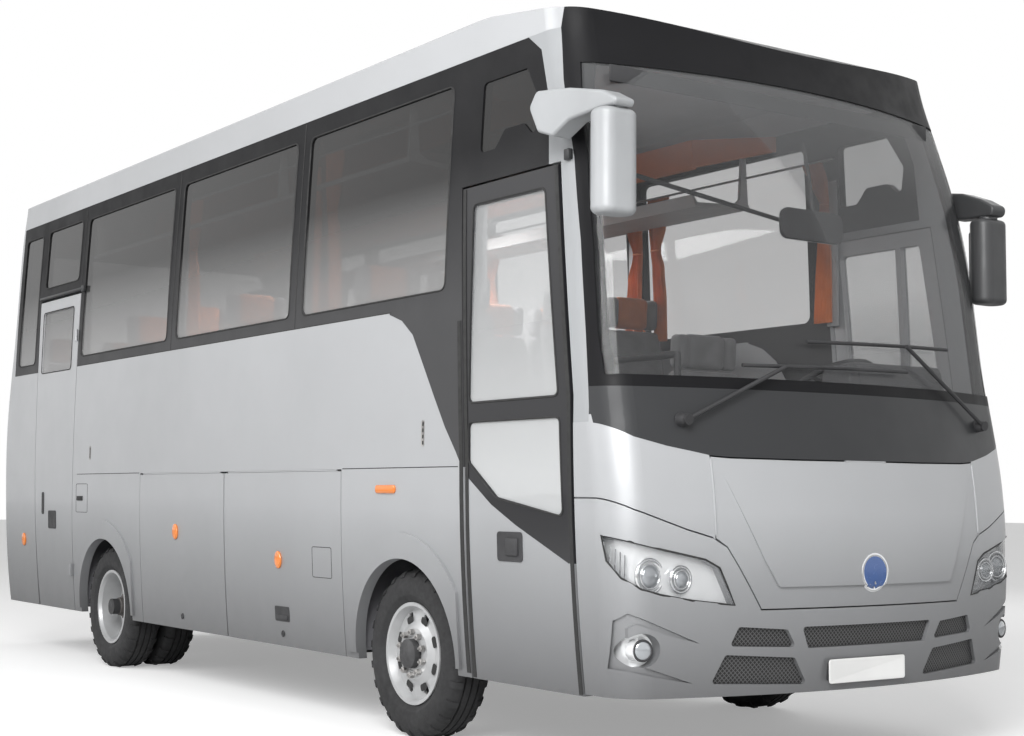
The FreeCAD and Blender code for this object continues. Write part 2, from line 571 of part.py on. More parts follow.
def make_sides(skin):
    opened = arches()
    flares = arch_flares()
    for side, name in ((-1, "side_panels_right"), (1, "side_panels_left")):
        waist_pts = [(SWOOSH[1][0] + SEAT, WAIST_Z - SEAT)] + [(y + SEAT, z) for y, z in SWOOSH[1:]]
        waist_pts += [(5540 - SEAT, SEAM_Z), (5540 - SEAT, WAIST_Z - SEAT)]
        waist = side_zone(skin, waist_pts, side)
        top = SEAM_Z - SEAT
        skirts = [[(rear_jamb(SKIRT_Z), SKIRT_Z), (rear_jamb(top), top), (570, top), (570, SKIRT_Z)],
                  [(3100, SKIRT_Z), (3100, top), (5540 - SEAT, top), (5540 - SEAT, SKIRT_Z)]]
        parts = [waist] + [side_zone(skin, s, side).cut(opened) for s in skirts]
        if side < 0:
            door = prism(rear_door_pts(DOOR_SEAM / 2), "yz", -FAR, 0)
            parts = [p.cut(door) for p in parts]
        sill = box(side * 1080, side * 1145, 575, 3095, SEAM_Z, SEAM_Z + 30)
        whole = parts[0].fuse(sill)
        if side < 0:
            parts.append(side_hinges(RDOOR_AXIS, RDOOR_HINGE_Z[:1], -1)[1].cut(envelope(WALL / 2)))
        for p in parts[1:] + [flare if side < 0 else mirrored(flare) for flare in flares]:
            whole = whole.fuse(p)
        put(name, whole)


def arch_flares():
    outer = envelope(-FLARE_OUT).cut(envelope(0.0))
    parts = []
    for y_axis in (AXLE_Y, WHEELBASE + AXLE_Y):
        ring = cylinder(ARCH_R + FLARE_W, 2 * FAR, (-FAR, y_axis, HUB_Z), (1, 0, 0))
        ring = ring.cut(cylinder(ARCH_R, 2 * FAR, (-FAR, y_axis, HUB_Z), (1, 0, 0)))
        ring = ring.common(box(-FAR, -900, y_axis - ARCH_R - FLARE_W + 90, y_axis + ARCH_R + FLARE_W - 40,
                               SKIRT_Z + 30, FAR))
        parts.append(outer.common(ring))
    return parts


def make_rear(skin, glass, panes):
    zone = skin.common(box(-FAR, FAR, 5540, 2 * FAR, 620, BAND_Z))
    lid_pts = [(-760, 760), (760, 760), (760, 1700), (-760, 1700)]
    window = prism(rounded([(-960, 2060), (960, 2060), (900, 2900), (-900, 2900)], 90), "xz", 5300, 2 * FAR)
    lid_hole = prism(rounded(lid_pts, 60), "xz", 5300, 2 * FAR)
    lamps = [prism(rounded([(s * 860, 900), (s * 1090, 900), (s * 1090, 1560), (s * 860, 1560)], 40),
                   "xz", 5400, 2 * FAR) for s in (1, -1)]
    wall = zone.cut(window).cut(lid_hole)
    for lamp in lamps:
        wall = wall.cut(lamp)
    put("rear_wall", wall)
    lid = skin.common(prism(rounded(grown(lid_pts, -8), 52), "xz", 5300, 2 * FAR))
    y, z = LID_AXIS
    put("boot_lid", lid.fuse(cylinder(HINGE_R, 1000, (-500, y, z - SEAT), (1, 0, 0))))
    put("body_windows", group(*panes, glass.common(window)))
    rear_lamp = envelope(4.0).cut(envelope(40.0))
    put("tail_lamps", group(*[rear_lamp.common(lamp) for lamp in lamps]))
    low = skin.common(box(-FAR, FAR, 5540, 2 * FAR, SKIRT_Z, 620 - SEAT))
    put("rear_bumper", low)


def door_items(by, low, high):
    rear = [(y - by, z) for y, z in DOOR_REAR]
    front = [(y + by, z) for y, z in DOOR_FRONT]
    rear[0], front[0] = (rear[0][0], low), (front[0][0], low)
    rear[-1], front[-1] = (rear[-1][0], high), (front[-1][0], high)
    return rear + front[::-1]


def make_front_door(skin, glass):
    leaf = side_zone(skin, door_items(1.0, DOOR_BOTTOM, DOOR_TOP))
    panes = []
    for pts in (DOOR_PANE_UP, DOOR_PANE_LOW):
        hole = prism(rounded(pts, 25), "yz", -FAR, 0)
        leaf = leaf.cut(hole)
        panes.append(glass.common(hole))
    x, y = ARM_LEAF
    for z in ARM_Z:
        for low in (16 + SEAT, -30):
            leaf = leaf.fuse(box(x + 19, -1150, y - 24, y + 24, z + low, z + low + 14 - SEAT))
    put("front_door", leaf)
    put("front_door_glass", group(*panes))
    px, py = ARM_POST
    arm = cylinder(POST_R, ARM_Z[1] + 60 - 400, (px, py, 400 + SEAT), (0, 0, 1))
    for z in ARM_Z:
        bend = [(px, py, z), (px + 95, py + 70, z), (px + 95, y - 60, z), (x, y, z)]
        arm = arm.fuse(tube(bend, ARM_R))
        arm = arm.fuse(cylinder(ARM_R + 5, 32, (x, y, z - 16), (0, 0, 1)))
    put("front_door_arm", arm)


def side_hinges(axis, heights, way):
    """Door half and body half of the knuckles on a vertical axis."""
    x, y = axis
    door, body = None, None
    for z in heights:
        barrel = cylinder(9, 80, (x, y, z), (0, 0, 1))
        inward = -30 if x > 0 else 30
        leaf = barrel.fuse(box(x - 3 * way, x + inward, y + 4, y + 40, z + 5, z + 75))
        seat_block = box(x, x + inward, y - 25, y - 9 - SEAT, z, z + 80)
        door = leaf if door is None else door.fuse(leaf)
        body = seat_block if body is None else body.fuse(seat_block)
    return door, body


def make_rear_door(skin, glass):
    leaf = side_zone(skin, rear_door_pts(-2.0))
    leaf = leaf.fuse(side_hinges(RDOOR_AXIS, RDOOR_HINGE_Z, -1)[0].cut(envelope(WALL / 2)))
    hole = prism(rounded(RDOOR_PANE, 25), "yz", -FAR, 0)
    put("rear_door", leaf.cut(hole))
    put("rear_door_glass", glass.common(hole))


def make_driver_door(skin, glass):
    leaf = side_zone(skin, grown(DDOOR, -SEAM), 1)
    leaf = leaf.fuse(side_hinges(DDOOR_AXIS, DDOOR_HINGE_Z, 1)[0].cut(envelope(WALL / 2)))
    hole = prism(rounded(DDOOR_PANE, 25), "yz", 0, FAR)
    post = skin.common(prism([(-985, 1400), (-955, 1400), (-930, 2400), (-960, 2400)], "yz", 0, FAR))
    put("driver_door", leaf.cut(hole.cut(post)))
    put("driver_door_glass", glass.common(hole).cut(post))


def make_lockers(skin):
    for side, word in ((-1, "right"), (1, "left")):
        for (y0, y1), place in zip(LOCKERS, ("front", "rear")):
            rect = [(y0 + SEAM, SKIRT_Z), (y1 - SEAM, SKIRT_Z), (y1 - SEAM, SEAM_Z - SEAM - 4),
                    (y0 + SEAM, SEAM_Z - SEAM - 4)]
            flap = side_zone(skin, rect, side)
            bar = cylinder(HINGE_R, y1 - y0 - 100, (side * LOCKER_AXIS_X, y0 + 50, LOCKER_AXIS_Z), (0, 1, 0))
            lip = box(side * (LOCKER_AXIS_X - 20), side * LOCKER_AXIS_X, y0 + 50, y1 - 50, LOCKER_AXIS_Z - 20,
                      LOCKER_AXIS_Z - 2)
            put("locker_" + place + "_" + word, flap.fuse(bar).fuse(lip.common(envelope(0.0))))


def make_floor():
    """Sheet floor, cab floor, engine cover, step wells and wheel houses as flat plates."""
    plates = saloon_floor() + cab_floor() + front_well() + rear_well()
    for y_axis, half, inner, notch in ((AXLE_Y, HOUSE_FRONT, HOUSE_IN[0], AXLE_NOTCH[0]),
                                       (AXLE_Y + WHEELBASE, HOUSE_REAR, HOUSE_IN[1], AXLE_NOTCH[1])):
        for side in (-1, 1):
            plates += wheel_house(y_axis, half, inner, notch, side)
    inside = envelope(WALL + SEAT)
    return group(*[plate.common(inside) for plate in plates])


def saloon_floor():
    low = FLOOR_Z - FLOOR_T
    y0, y1, w = CAB_Y[1], FLOOR_END, FLOOR_W
    w0, w1, w2 = RWELL_Y[0], RWELL_Y[1], RWELL_Y[1] + DOOR_SWEEP
    return [box(COVER_X, w, y0, COVER_Y[1], low, FLOOR_Z), box(-w, -COVER_X, y0, COVER_Y[1], low, FLOOR_Z),
            box(-w, w, COVER_Y[1], w0, low, FLOOR_Z), box(-RWELL_X, w, w0, w1, low, FLOOR_Z),
            box(-SWEEP_X, w, w1, w2, low, FLOOR_Z), box(-w, w, w2, y1, low, FLOOR_Z)]


def cab_floor():
    low, top = CAB_Z - FLOOR_T, CAB_Z
    (y0, y1), (c0, c1) = CAB_Y, COVER_Y
    x, t = COVER_X, COVER_T
    riser = y1 - FLOOR_T
    return [box(x, CAB_W, y0, riser, low, top), box(-STEP_X, -x, y0, riser, low, top),
            box(x, FLOOR_W, riser, y1, low, FLOOR_Z), box(-STEP_X, -x, riser, y1, low, FLOOR_Z),
            box(x - t, x, c0, c1, low, COVER_Z - t), box(-x, t - x, c0, c1, low, COVER_Z - t),
            box(t - x, x - t, c1 - t, c1, low, COVER_Z - t), box(-x, x, c0, c1, COVER_Z - t, COVER_Z)]


def front_well():
    y0, y1 = STEP_Y
    plates = [box(-SWEEP_X, -STEP_X, y0, y1, WELL_Z, WELL_Z + FLOOR_T)]
    low = WELL_Z + FLOOR_T
    for x, top in STEPS:
        plates.append(box(-x, -STEP_X, y0, y1, low, top))
        low = top
    plates.append(box(-FLOOR_W, -STEP_X, y1, y1 + STEP_T, WELL_Z, FLOOR_Z))
    plates.append(box(-SWEEP_X, -STEP_X, y0 - STEP_T, y0, WELL_Z, STEP_WALL_Z - SEAT))
    return plates


def rear_well():
    (y0, y1), t, low, top = RWELL_Y, STEP_T, WELL_Z, FLOOR_Z - FLOOR_T
    return [box(-SWEEP_X, t - RWELL_X, y0 - t, y1 + t, low - t, low),
            box(-RWELL_X, t - RWELL_X, y0, y1, low, top),
            box(-SWEEP_X, t - RWELL_X, y0 - t, y0, low, top), box(-SWEEP_X, t - RWELL_X, y1, y1 + t, low, top),
            box(-RWELL_STEP[0], -RWELL_X, y0, y1, low, RWELL_STEP[1])]


def wheel_house(y_axis, half, inner, notch, side):
    """Top, ends and inner wall, with a way through for the axle."""
    t, low, top = HOUSE_T, WELL_Z, FLOOR_Z - FLOOR_T
    y0, y1, s = y_axis - half, y_axis + half, side
    gap, gap_z = notch
    x0, x1, x2 = s * inner, s * (inner + t), s * FLOOR_W
    return [box(x0, x2, y0, y1, top - t, top), box(x1, x2, y0, y0 + t, low, top - t),
            box(x1, x2, y1 - t, y1, low, top - t), box(x0, x1, y0, y_axis - gap, low, gap_z),
            box(x0, x1, y_axis + gap, y1, low, gap_z), box(x0, x1, y0, y1, gap_z, top - t)]


def make_engine_bay():
    engine = box(-250, 250, -1330, -420, 560, 1190)
    gearbox = box(-150, 150, -425, 150, 480, 780)
    run = WHEELBASE + AXLE_Y - 75 - SEAT - 149
    gearbox = gearbox.fuse(cylinder(45, math.hypot(run, 200), (0, 149, 583), (0, run, -200)).common(
        box(-FAR, FAR, 0, 149 + run, 0, FAR)))
    put("engine_gearbox", engine.fuse(gearbox))


def make_chassis():
    """Ladder frame of bars, each against its neighbour, with bumper beam, tow plate and jack pads."""
    x0, x1 = RAIL_X - RAIL_T / 2, RAIL_X + RAIL_T / 2
    z0, z1 = RAIL_Z
    cross, half, thin = z1 - CROSS_H, CROSS_W / 2, POST_W / 2
    bars = [box(-x0, x0, y - half, y + half, cross, z1) for y in CROSS_Y]
    for s in (-1, 1):
        bars.append(box(s * x0, s * x1, *RAIL_Y, z0, z1))
        bars += [box(s * x1, s * OUTRIGGER_X, y - thin, y + thin, cross, z1) for y in OUTRIGGER_Y
                 if not (s < 0 and y > RWELL_Y[0])]
        for y in POST_Y:
            top = FLOOR_Z - FLOOR_T if y > CAB_Y[1] else CAB_Z - FLOOR_T
            bars.append(box(s * x0, s * x1, y - thin, y + thin, z1, top))
        bars.append(box(s * (RAIL_X - PAD / 2), s * (RAIL_X + PAD / 2), PAD_Y - PAD, PAD_Y + PAD, z0 - PAD_T, z0))
    return group(*bars, *bumper_beam(), *tow_hanger(cross))


def tow_hanger(cross):
    y = CROSS_Y[-1] + TOW_DROP / 2
    drop = box(-TOW_DROP, TOW_DROP, y - TOW_DROP, y, TOW_Z, cross)
    plate = box(-TOW_W, TOW_W, y, y + 2 * TOW_W, TOW_Z, TOW_Z + TOW_T)
    return drop, plate.cut(cylinder(TOW_R, TOW_T, (0, TOW_Y, TOW_Z), (0, 0, 1)))


def make_lockers_bays():
    """Open luggage trays on both sides, made of flat plates."""
    t, top = BAY_T, RAIL_Z[1] - CROSS_H - SEAT
    y0, mid, y1 = LOCKERS[0][0] + BAY_GAP, LOCKERS[0][1], LOCKERS[1][1] - BAY_GAP
    low = BAY_Z + t
    parts = []
    for s in (-1, 1):
        x0, x1, x2 = s * BAY_X[0], s * (BAY_X[0] + t), s * BAY_X[1]
        parts += [box(x0, x2, y0, y1, BAY_Z, low), box(x0, x1, y0, y1, low, top), box(x1, x2, y0, y0 + t, low, top),
                  box(x1, x2, mid - t / 2, mid + t / 2, low, top), box(x1, x2, y1 - t, y1, low, top)]
    put("luggage_bays", group(*parts))


def make_axles():
    y, k = AXLE_Y, KINGPIN_X
    beam = box(15 - k, k - 15, y - 38, y + 38, HUB_Z - 55, HUB_Z + 20)
    beam = beam.cut(box(300 - k, k - 300, y - 99, y + 99, HUB_Z - 20, HUB_Z + 99))
    springs = []
    for s in (-1, 1):
        beam = beam.fuse(cylinder(22, 128 - 2 * SEAT, (s * k, y, HUB_Z - 64 + SEAT), (0, 0, 1)))
        beam = beam.cut(box(s * (k - 70), s * k, y + 20, y + 99, 0, FAR)).cut(
            box(s * (k - 70), s * k, y - 99, y - 20, 0, FAR)).fuse(cylinder(22, 75, (s * k, y, HUB_Z - 55), (0, 0, 1)))
        springs.append(leaf_spring(s * RAIL_X, y, 600, HUB_Z - 30))
    for sp in springs:
        beam = beam.fuse(sp)
    put("front_axle", beam)
    yr = WHEELBASE + AXLE_Y
    axle = cylinder(60, 1200, (-600, yr, HUB_Z), (1, 0, 0))
    axle = axle.fuse(cylinder(170, 150, (0, yr - 75, HUB_Z), (0, 1, 0)))
    for s in (-1, 1):
        axle = axle.fuse(cylinder(50, 520, (s * 590, yr, HUB_Z), (s, 0, 0)))
        axle = axle.fuse(leaf_spring(s * RAIL_X, yr, 680, HUB_Z + 50))
    put("rear_axle", axle)


def leaf_spring(x, y, half, z):
    """Leaf pack over the axle with its eyes hung from the rail."""
    top = RAIL_Z[0] - SEAT
    pts = [(y - half, top - 25), (y - half * 0.5, z + 45, y, z), (y + half * 0.5, z + 45, y + half, top - 25),
           (y + half, top), (y + half * 0.5, z + 80, y, z + 45), (y - half * 0.5, z + 80, y - half, top)]
    return prism(pts, "yz", x - 35, x + 35)


def make_knuckles():
    y = AXLE_Y
    for s, word in ((-1, "right"), (1, "left")):
        k = s * KINGPIN_X
        part = box(k + s * 28, k + s * 40, y - 26, y + 26, HUB_Z - 104, HUB_Z + 104)
        for low in (64, -104):
            part = part.fuse(cylinder(26, 40, (k, y, HUB_Z + low), (0, 0, 1)))
            part = part.fuse(box(k, k + s * 40, y - 26, y + 26, HUB_Z + low, HUB_Z + low + 40))
        part = part.fuse(cylinder(30, 200, (k + s * 28, y, HUB_Z), (s, 0, 0)))
        part = part.fuse(cylinder(150, 12, (k + s * 40, y, HUB_Z), (s, 0, 0)))
        put("knuckle_" + word, part)


def tyre(x, y, side):
    h, r = TYRE_W / 2, TYRE_R
    pts = [(-h + 32, RIM_R), (-h + 28, RIM_R + 14), (-h + 6, RIM_R + 42), (-h, 300), (-h + 12, 350), (-h + 32, r - 6), (-h + 60, r),
           (h - 60, r), (h - 32, r - 6), (h - 12, 350), (h, 300), (h - 6, RIM_R + 42),
           (h - 28, RIM_R + 14), (h - 32, RIM_R)]
    return spin(pts, x, y, side)


def spin(pts, x, y, side):
    """Closed half section (distance along the axle, radius) turned round the axle."""
    vs = [V(x + side * a, y, HUB_Z + r) for a, r in pts]
    face = Part.Face(Part.makePolygon(vs + [vs[0]]))
    return face.revolve(V(x, y, HUB_Z), V(1, 0, 0), 360)


def front_rim(x, y, side):
    h = TYRE_W / 2 - 18
    pts = [(-h, RIM_R), (-h, RIM_R + 10), (-h + 8, RIM_R + 10), (-h + 14, RIM_R), (h - 14, RIM_R), (h - 8, RIM_R + 12),
           (h, RIM_R + 12), (h, RIM_R - 4), (h - 22, RIM_R - 14), (h - 40, RIM_R - 22), (h - 30, 150), (h - 8, 118),
           (h - 4, 80), (h - 16, 78), (h - 20, 116), (h - 42, 150), (h - 54, RIM_R - 22), (-h, RIM_R - 12)]
    disc = spin(pts, x, y, side)
    for i in range(8):
        a = math.radians(45 * i + 22)
        hole = cylinder(21, 200, (x, y + 176 * math.cos(a), HUB_Z + 176 * math.sin(a)), (side, 0, 0))
        disc = disc.cut(hole)
    hub = cylinder(79, 50, (x + side * 32, y, HUB_Z), (side, 0, 0)).fuse(
        cylinder(58, 34, (x + side * 80, y, HUB_Z), (side, 0, 0)))
    bore = cylinder(30 + SEAT, 90, (x + side * 10, y, HUB_Z), (side, 0, 0))
    return disc.fuse(hub).cut(bore)


def rear_rims(y, side):
    out = []
    outer, inner = REAR_X
    h = TYRE_W / 2 - 18
    for x, s in ((outer, side), (inner, -side)):
        pts = [(-h, RIM_R), (-h, RIM_R + 12), (-h + 8, RIM_R + 12), (-h + 14, RIM_R), (h - 14, RIM_R),
               (h - 8, RIM_R + 12), (h, RIM_R + 12), (h, RIM_R - 4), (h - 20, RIM_R - 12), (-h + 36, RIM_R - 18),
               (-h + 12, 190), (-h - 28, 150), (-h - 28, 100), (-h - 32, 100), (-h - 32, 158), (-h - 4, 196),
               (-h, RIM_R - 12)]
        out.append(spin(pts, side * x, y, s))
    gap_x = (outer + inner) / 2
    drum = cylinder(125, 60, (side * (gap_x - 30), y, HUB_Z), (side, 0, 0))
    hub = cylinder(90, 120, (side * gap_x, y, HUB_Z), (side, 0, 0))
    rims = out[0].fuse(out[1]).fuse(drum).fuse(hub)
    return rims.cut(cylinder(50 + SEAT, 330, (side * (gap_x - 140), y, HUB_Z), (side, 0, 0)))


def make_wheels():
    for s, word in ((-1, "right"), (1, "left")):
        put("front_tyre_" + word, tyre(s * FRONT_X, AXLE_Y, s))
        put("front_rim_" + word, front_rim(s * FRONT_X, AXLE_Y, s))
        y = WHEELBASE + AXLE_Y
        put("rear_tyres_" + word, group(*[tyre(s * x, y, s) for x in REAR_X]))
        put("rear_rims_" + word, rear_rims(y, s))


def seat(x, y, width, base):
    """One seat: cushion and back as one shell on two legs."""
    body = prism(rounded([(y + a, base + b) for a, b in SEAT_PROFILE], 40), "yz", x, x + width)
    legs = box(x + 50, x + 90, y - 120, y + 190, base, base + 400)
    return body.fuse(legs).fuse(box(x + width - 90, x + width - 50, y - 120, y + 190, base, base + 400))


def headrest(x, y, width, base):
    return prism(rounded([(y + a, base + b) for a, b in HEADREST], 25), "yz", x + 60, x + width - 60)


def make_seats():
    seats, rests = [], []
    spots = []
    for i in range(LEFT_ROWS):
        spots += [(x, 560 + i * SEAT_PITCH) for x in SEAT_X]
    for i in range(RIGHT_ROWS):
        spots += [(-x - SEAT_W, 300 + i * SEAT_PITCH) for x in SEAT_X]
    spots += [(x, BENCH_Y) for x in (-1020, -550, -80, 390)]
    for x, y in spots:
        wide = SEAT_W - 12
        seats.append(seat(x, y, wide, FLOOR_Z))
        rests.append(headrest(x, y, wide, FLOOR_Z))
    driver = seat(430, -330, 470, 650)
    put("seats", group(*seats, driver.cut(box(0, FAR, -FAR, FAR, 0, FLOOR_Z))))
    put("seat_headrests", group(*rests, headrest(430, -330, 470, 650)))


def make_cab():
    dash = prism([(-1600, 1080), (-1600, 1450), (-1420, 1560), (-1180, 1500), (-1150, 1330), (-1300, 1080)],
                 "yz", -940, 1010)
    hood = prism(rounded([(-1480, 1500), (-1430, 1720), (-1230, 1700), (-1190, 1500)], 40), "yz", 300, 850)
    dash = dash.fuse(hood).common(envelope(WALL + SEAT)).cut(box(-405, 405, -1386, 0, 0, 1265))
    put("dashboard", dash)
    wheel = Part.makeTorus(215, 14, V(0, 0, 0), V(0, 0, 1)).fuse(
        box(-215, 215, -14, 14, -8, 8)).fuse(cylinder(45, 30, (0, 0, -22), (0, 0, 1))).fuse(
        cylinder(24, 540, (0, 0, -560), (0, 0, 1)))
    wheel.rotate(V(0, 0, 0), V(1, 0, 0), -30)
    wheel.translate(V(600, -985, 1640))
    put("steering_wheel", wheel.cut(dash))
    rails = [tube([(-455, -1090, 830 + SEAT), (-455, -1090, 1730), (-455, -470, 1730),
                   (-455, -470, FLOOR_Z + SEAT)], 16),
             tube([(330, 90, FLOOR_Z + SEAT), (330, 90, 1700), (1080, 90, 1700),
                   (1080, 90, FLOOR_Z + SEAT)], 16)]
    return rails


def make_racks():
    parts = []
    for s in (-1, 1):
        y0 = 100
        y1 = 5500 if s > 0 else 4200
        shelf = prism([(s * 1150, 2700), (s * 1150, 2725), (s * 720, 2700), (s * 690, 2740), (s * 680, 2735),
                       (s * 710, 2675)], "xz", y0, y1)
        hooks = [prism([(s * 1150, 2715), (s * 1150, 3030), (s * 1060, 3030), (s * 1040, 2750), (s * 1000, 2718)],
                       "xz", y - 10, y + 10) for y in range(y0 + 20, y1, 1350)]
        for h in hooks:
            shelf = shelf.fuse(h)
        parts.append(shelf.common(envelope(WALL + SEAT)))
    put("luggage_racks", group(*parts))


def make_mirrors():
    """A housing on each side under a swept arm whose foot stands on the pillar."""
    put("mirrors", group(*[mirror(*sizes) for sizes in MIRRORS]))


def mirror(centre, arm_pts, foot):
    (cx, cy, cz), (hx, hy, hz) = centre, MIRROR_H
    corners = [(cx - hx, cy - hy), (cx + hx, cy - hy), (cx + hx, cy + hy), (cx - hx, cy + hy)]
    head = soft_edges(prism(rounded(corners, MIRROR_R), "xy", cz - hz, cz + hz), MIRROR_EDGE_R, 2)
    wide = MIRROR_ARM_W / 2
    arm = soft_edges(prism(rounded(arm_pts, MIRROR_ARM_R), "yz", cx - wide, cx + wide), MIRROR_ARM_EDGE_R, 0)
    collar = cylinder(MIRROR_NECK_R, MIRROR_NECK_L, (cx, cy, cz + hz), (0, 0, 1))
    return arm.fuse(box(0, cx, *foot).cut(envelope(-SEAT))).fuse(collar).fuse(head)


def soft_edges(shape, radius, axis):
    """Rounds the edges of the two faces across an axis."""
    lows = [shape.BoundBox.XMin, shape.BoundBox.YMin, shape.BoundBox.ZMin]
    highs = [shape.BoundBox.XMax, shape.BoundBox.YMax, shape.BoundBox.ZMax]
    edges = []
    for e in shape.Edges:
        at = e.BoundBox
        a, b = [(at.XMin, at.XMax), (at.YMin, at.YMax), (at.ZMin, at.ZMax)][axis]
        if b - a < SEAT and (abs(a - lows[axis]) < SEAT or abs(a - highs[axis]) < SEAT):
            edges.append(e)
    return shape.makeFillet(radius, edges)


def make_wipers():
    parts = []
    for pivot, elbow, ends, out in (((-883, 1413), (-405, 1640), ((-600, 1640), (330, 1655)), 26),
                                    ((900, 1440), (330, 1767), ((-269, 1752), (670, 1775)), 26)):
        pts = []
        for x, z in (pivot, elbow):
            pts.append((x, front_y(x, z) - out - 14, z))
        arm = tube(pts, 9)
        blade = prism_along(ends, out)
        knob = cylinder(22, 80, (pivot[0], front_y(*pivot) - out - 24, pivot[1]), (0, 1, 0.1))
        parts.append(arm.fuse(knob.cut(envelope(0.0))).fuse(blade))
    put("wipers", group(*parts))


def front_y(x, z):
    """Nose surface position at a point of the front view."""
    k = 0
    while NOSE[k + 1][0] < z:
        k += 1
    (z0, y0), (z1, y1) = NOSE[k], NOSE[k + 1]
    nose = y0 + (y1 - y0) * (z - z0) / (z1 - z0)
    return nose + NOSE_R - math.sqrt(NOSE_R ** 2 - x ** 2)


def prism_along(ends, out):
    n = 8
    pts = []
    for i in range(n + 1):
        x = ends[0][0] + (ends[1][0] - ends[0][0]) * i / n
        z = ends[0][1] + (ends[1][1] - ends[0][1]) * i / n
        pts.append((x, front_y(x, z) - out, z))
    return tube(pts, 8)


def make_roof_unit():
    (y0, y1), x = UNIT_Y, UNIT_X
    pts = [(y0, 3262), (y0 + 60, 3330), (y0 + 420, UNIT_TOP, y0 + 520, UNIT_TOP), (y1 - 260, UNIT_TOP),
           (y1, 3330), (y1, 3225)]
    unit_body = prism([(p[-2], p[-1]) if len(p) == 2 else p for p in pts], "yz", -x, x)
    side_cut = prism([(x - 170, FAR), (x - 60, UNIT_TOP - 60, x, 3290), (FAR, 3290), (FAR, FAR)], "xz", 0, 2 * FAR)
    unit_body = unit_body.cut(side_cut).cut(mirrored(side_cut))
    put("roof_unit", unit_body.cut(envelope(0.0)))


def make_fuel():
    left_tank = prism(rounded([(460, 400), (1010, 400), (1010, 659.7), (460, 659.7)], 60), "xz", 4280, 5150)
    put("fuel_tank", left_tank)
    muffler = cylinder(110, 700, (190, 2400, 470), (0, 1, 0))
    tail = tube([(190, 3100, 470), (190, 3320, 640), (190, 4250, 640), (190, 4500, 470), (190, 5600, 470)], 35)
    pipe = tube([(190, -300, 470), (190, 2400, 470)], 35)
    hangers = [box(182, 198, y - 15, y + 15, 480, RAIL_Z[1] - 60 - SEAT) for y in (1250, 2450, 5420)]
    for h in hangers:
        pipe = pipe.fuse(h)
    put("exhaust", muffler.fuse(tail).fuse(pipe))


def main():
    skin, glass = body_shells()
    make_roof(skin)
    make_windshield(skin, glass)
    make_pillars(skin)
    make_cowl(skin)
    make_front(skin)
    make_front_lamps(skin, glass)
    make_grille()
    panes = make_band(skin, glass)
    make_sides(skin)
    make_rear(skin, glass, panes)
    make_front_door(skin, glass)
    make_rear_door(skin, glass)
    make_driver_door(skin, glass)
    make_lockers(skin)
    put("floor_deck", make_floor())
    make_engine_bay()
    put("chassis_frame", make_chassis())
    make_lockers_bays()
    make_axles()
    make_knuckles()
    make_wheels()
    make_seats()
    rails = make_cab()
    put("guard_rails", group(*rails))
    make_racks()
    make_mirrors()
    make_wipers()
    make_roof_unit()
    make_fuel()


main()
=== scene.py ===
import math

import bpy
from mathutils import Matrix, Vector


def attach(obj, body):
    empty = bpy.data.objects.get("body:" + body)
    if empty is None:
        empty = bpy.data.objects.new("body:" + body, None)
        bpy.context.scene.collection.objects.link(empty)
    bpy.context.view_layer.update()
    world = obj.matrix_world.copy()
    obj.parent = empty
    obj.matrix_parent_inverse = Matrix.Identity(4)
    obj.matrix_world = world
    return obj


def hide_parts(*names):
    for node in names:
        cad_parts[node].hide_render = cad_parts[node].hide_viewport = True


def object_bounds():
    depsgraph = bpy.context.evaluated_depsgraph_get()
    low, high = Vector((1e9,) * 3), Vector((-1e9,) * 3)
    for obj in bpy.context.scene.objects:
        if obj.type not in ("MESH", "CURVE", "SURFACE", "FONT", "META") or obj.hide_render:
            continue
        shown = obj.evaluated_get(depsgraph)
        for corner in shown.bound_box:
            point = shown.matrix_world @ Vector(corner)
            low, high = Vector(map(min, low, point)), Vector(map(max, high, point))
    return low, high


bl_info = {
    "name": "Coach bus dressing",
    "version": (1, 0, 0),
    "blender": (4, 5, 0),
    "location": "3D View > Sidebar > Coach",
    "description": "Dresses the packed midi coach with paint, glass, lamps, tyres, seats and trim",
    "category": "Object",
}

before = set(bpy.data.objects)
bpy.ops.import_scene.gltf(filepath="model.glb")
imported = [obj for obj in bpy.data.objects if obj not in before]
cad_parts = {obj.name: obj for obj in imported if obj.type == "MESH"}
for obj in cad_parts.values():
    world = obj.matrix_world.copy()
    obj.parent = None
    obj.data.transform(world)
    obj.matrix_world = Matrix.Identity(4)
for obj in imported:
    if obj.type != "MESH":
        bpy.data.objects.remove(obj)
CAD_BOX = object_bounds()
Y_MIDDLE = 1.975
HUB_Z = 0.3835
FRONT_AXLE_Y = 0.015 - Y_MIDDLE
REAR_AXLE_Y = 3.705 - Y_MIDDLE
OBJECTS = {}
SIDES = {"right": -1, "left": 1}


def rowy(y):
    """Row Y of a place counted from the front axle."""
    return y - Y_MIDDLE


# Materials


def new_material(name):
    mat = bpy.data.materials.new(name)
    mat.use_nodes = True
    tree = mat.node_tree
    return mat, tree, tree.nodes["Principled BSDF"], tree.nodes.new("ShaderNodeTexCoord")


def link(source, target):
    """Feeds an input from an output of the same tree."""
    source.id_data.links.new(source, target)


def texture(tree, coords, kind, **sizes):
    node = tree.nodes.new(kind)
    for key, value in sizes.items():
        node.inputs[key].default_value = value
    link(coords.outputs["Object"], node.inputs["Vector"])
    return node


def noise(tree, coords, scale, detail=3.0):
    node = texture(tree, coords, "ShaderNodeTexNoise", Scale=scale, Detail=detail, Roughness=0.55)
    return node.outputs["Fac"]


def ramp(tree, source, stops):
    node = tree.nodes.new("ShaderNodeValToRGB")
    elements = node.color_ramp.elements
    for element, (place, colour) in zip(elements, (stops[0], stops[-1])):
        element.position = place
        element.color = colour
    for place, colour in stops[1:-1]:
        elements.new(place).color = colour
    link(source, node.inputs["Fac"])
    return node.outputs["Color"]


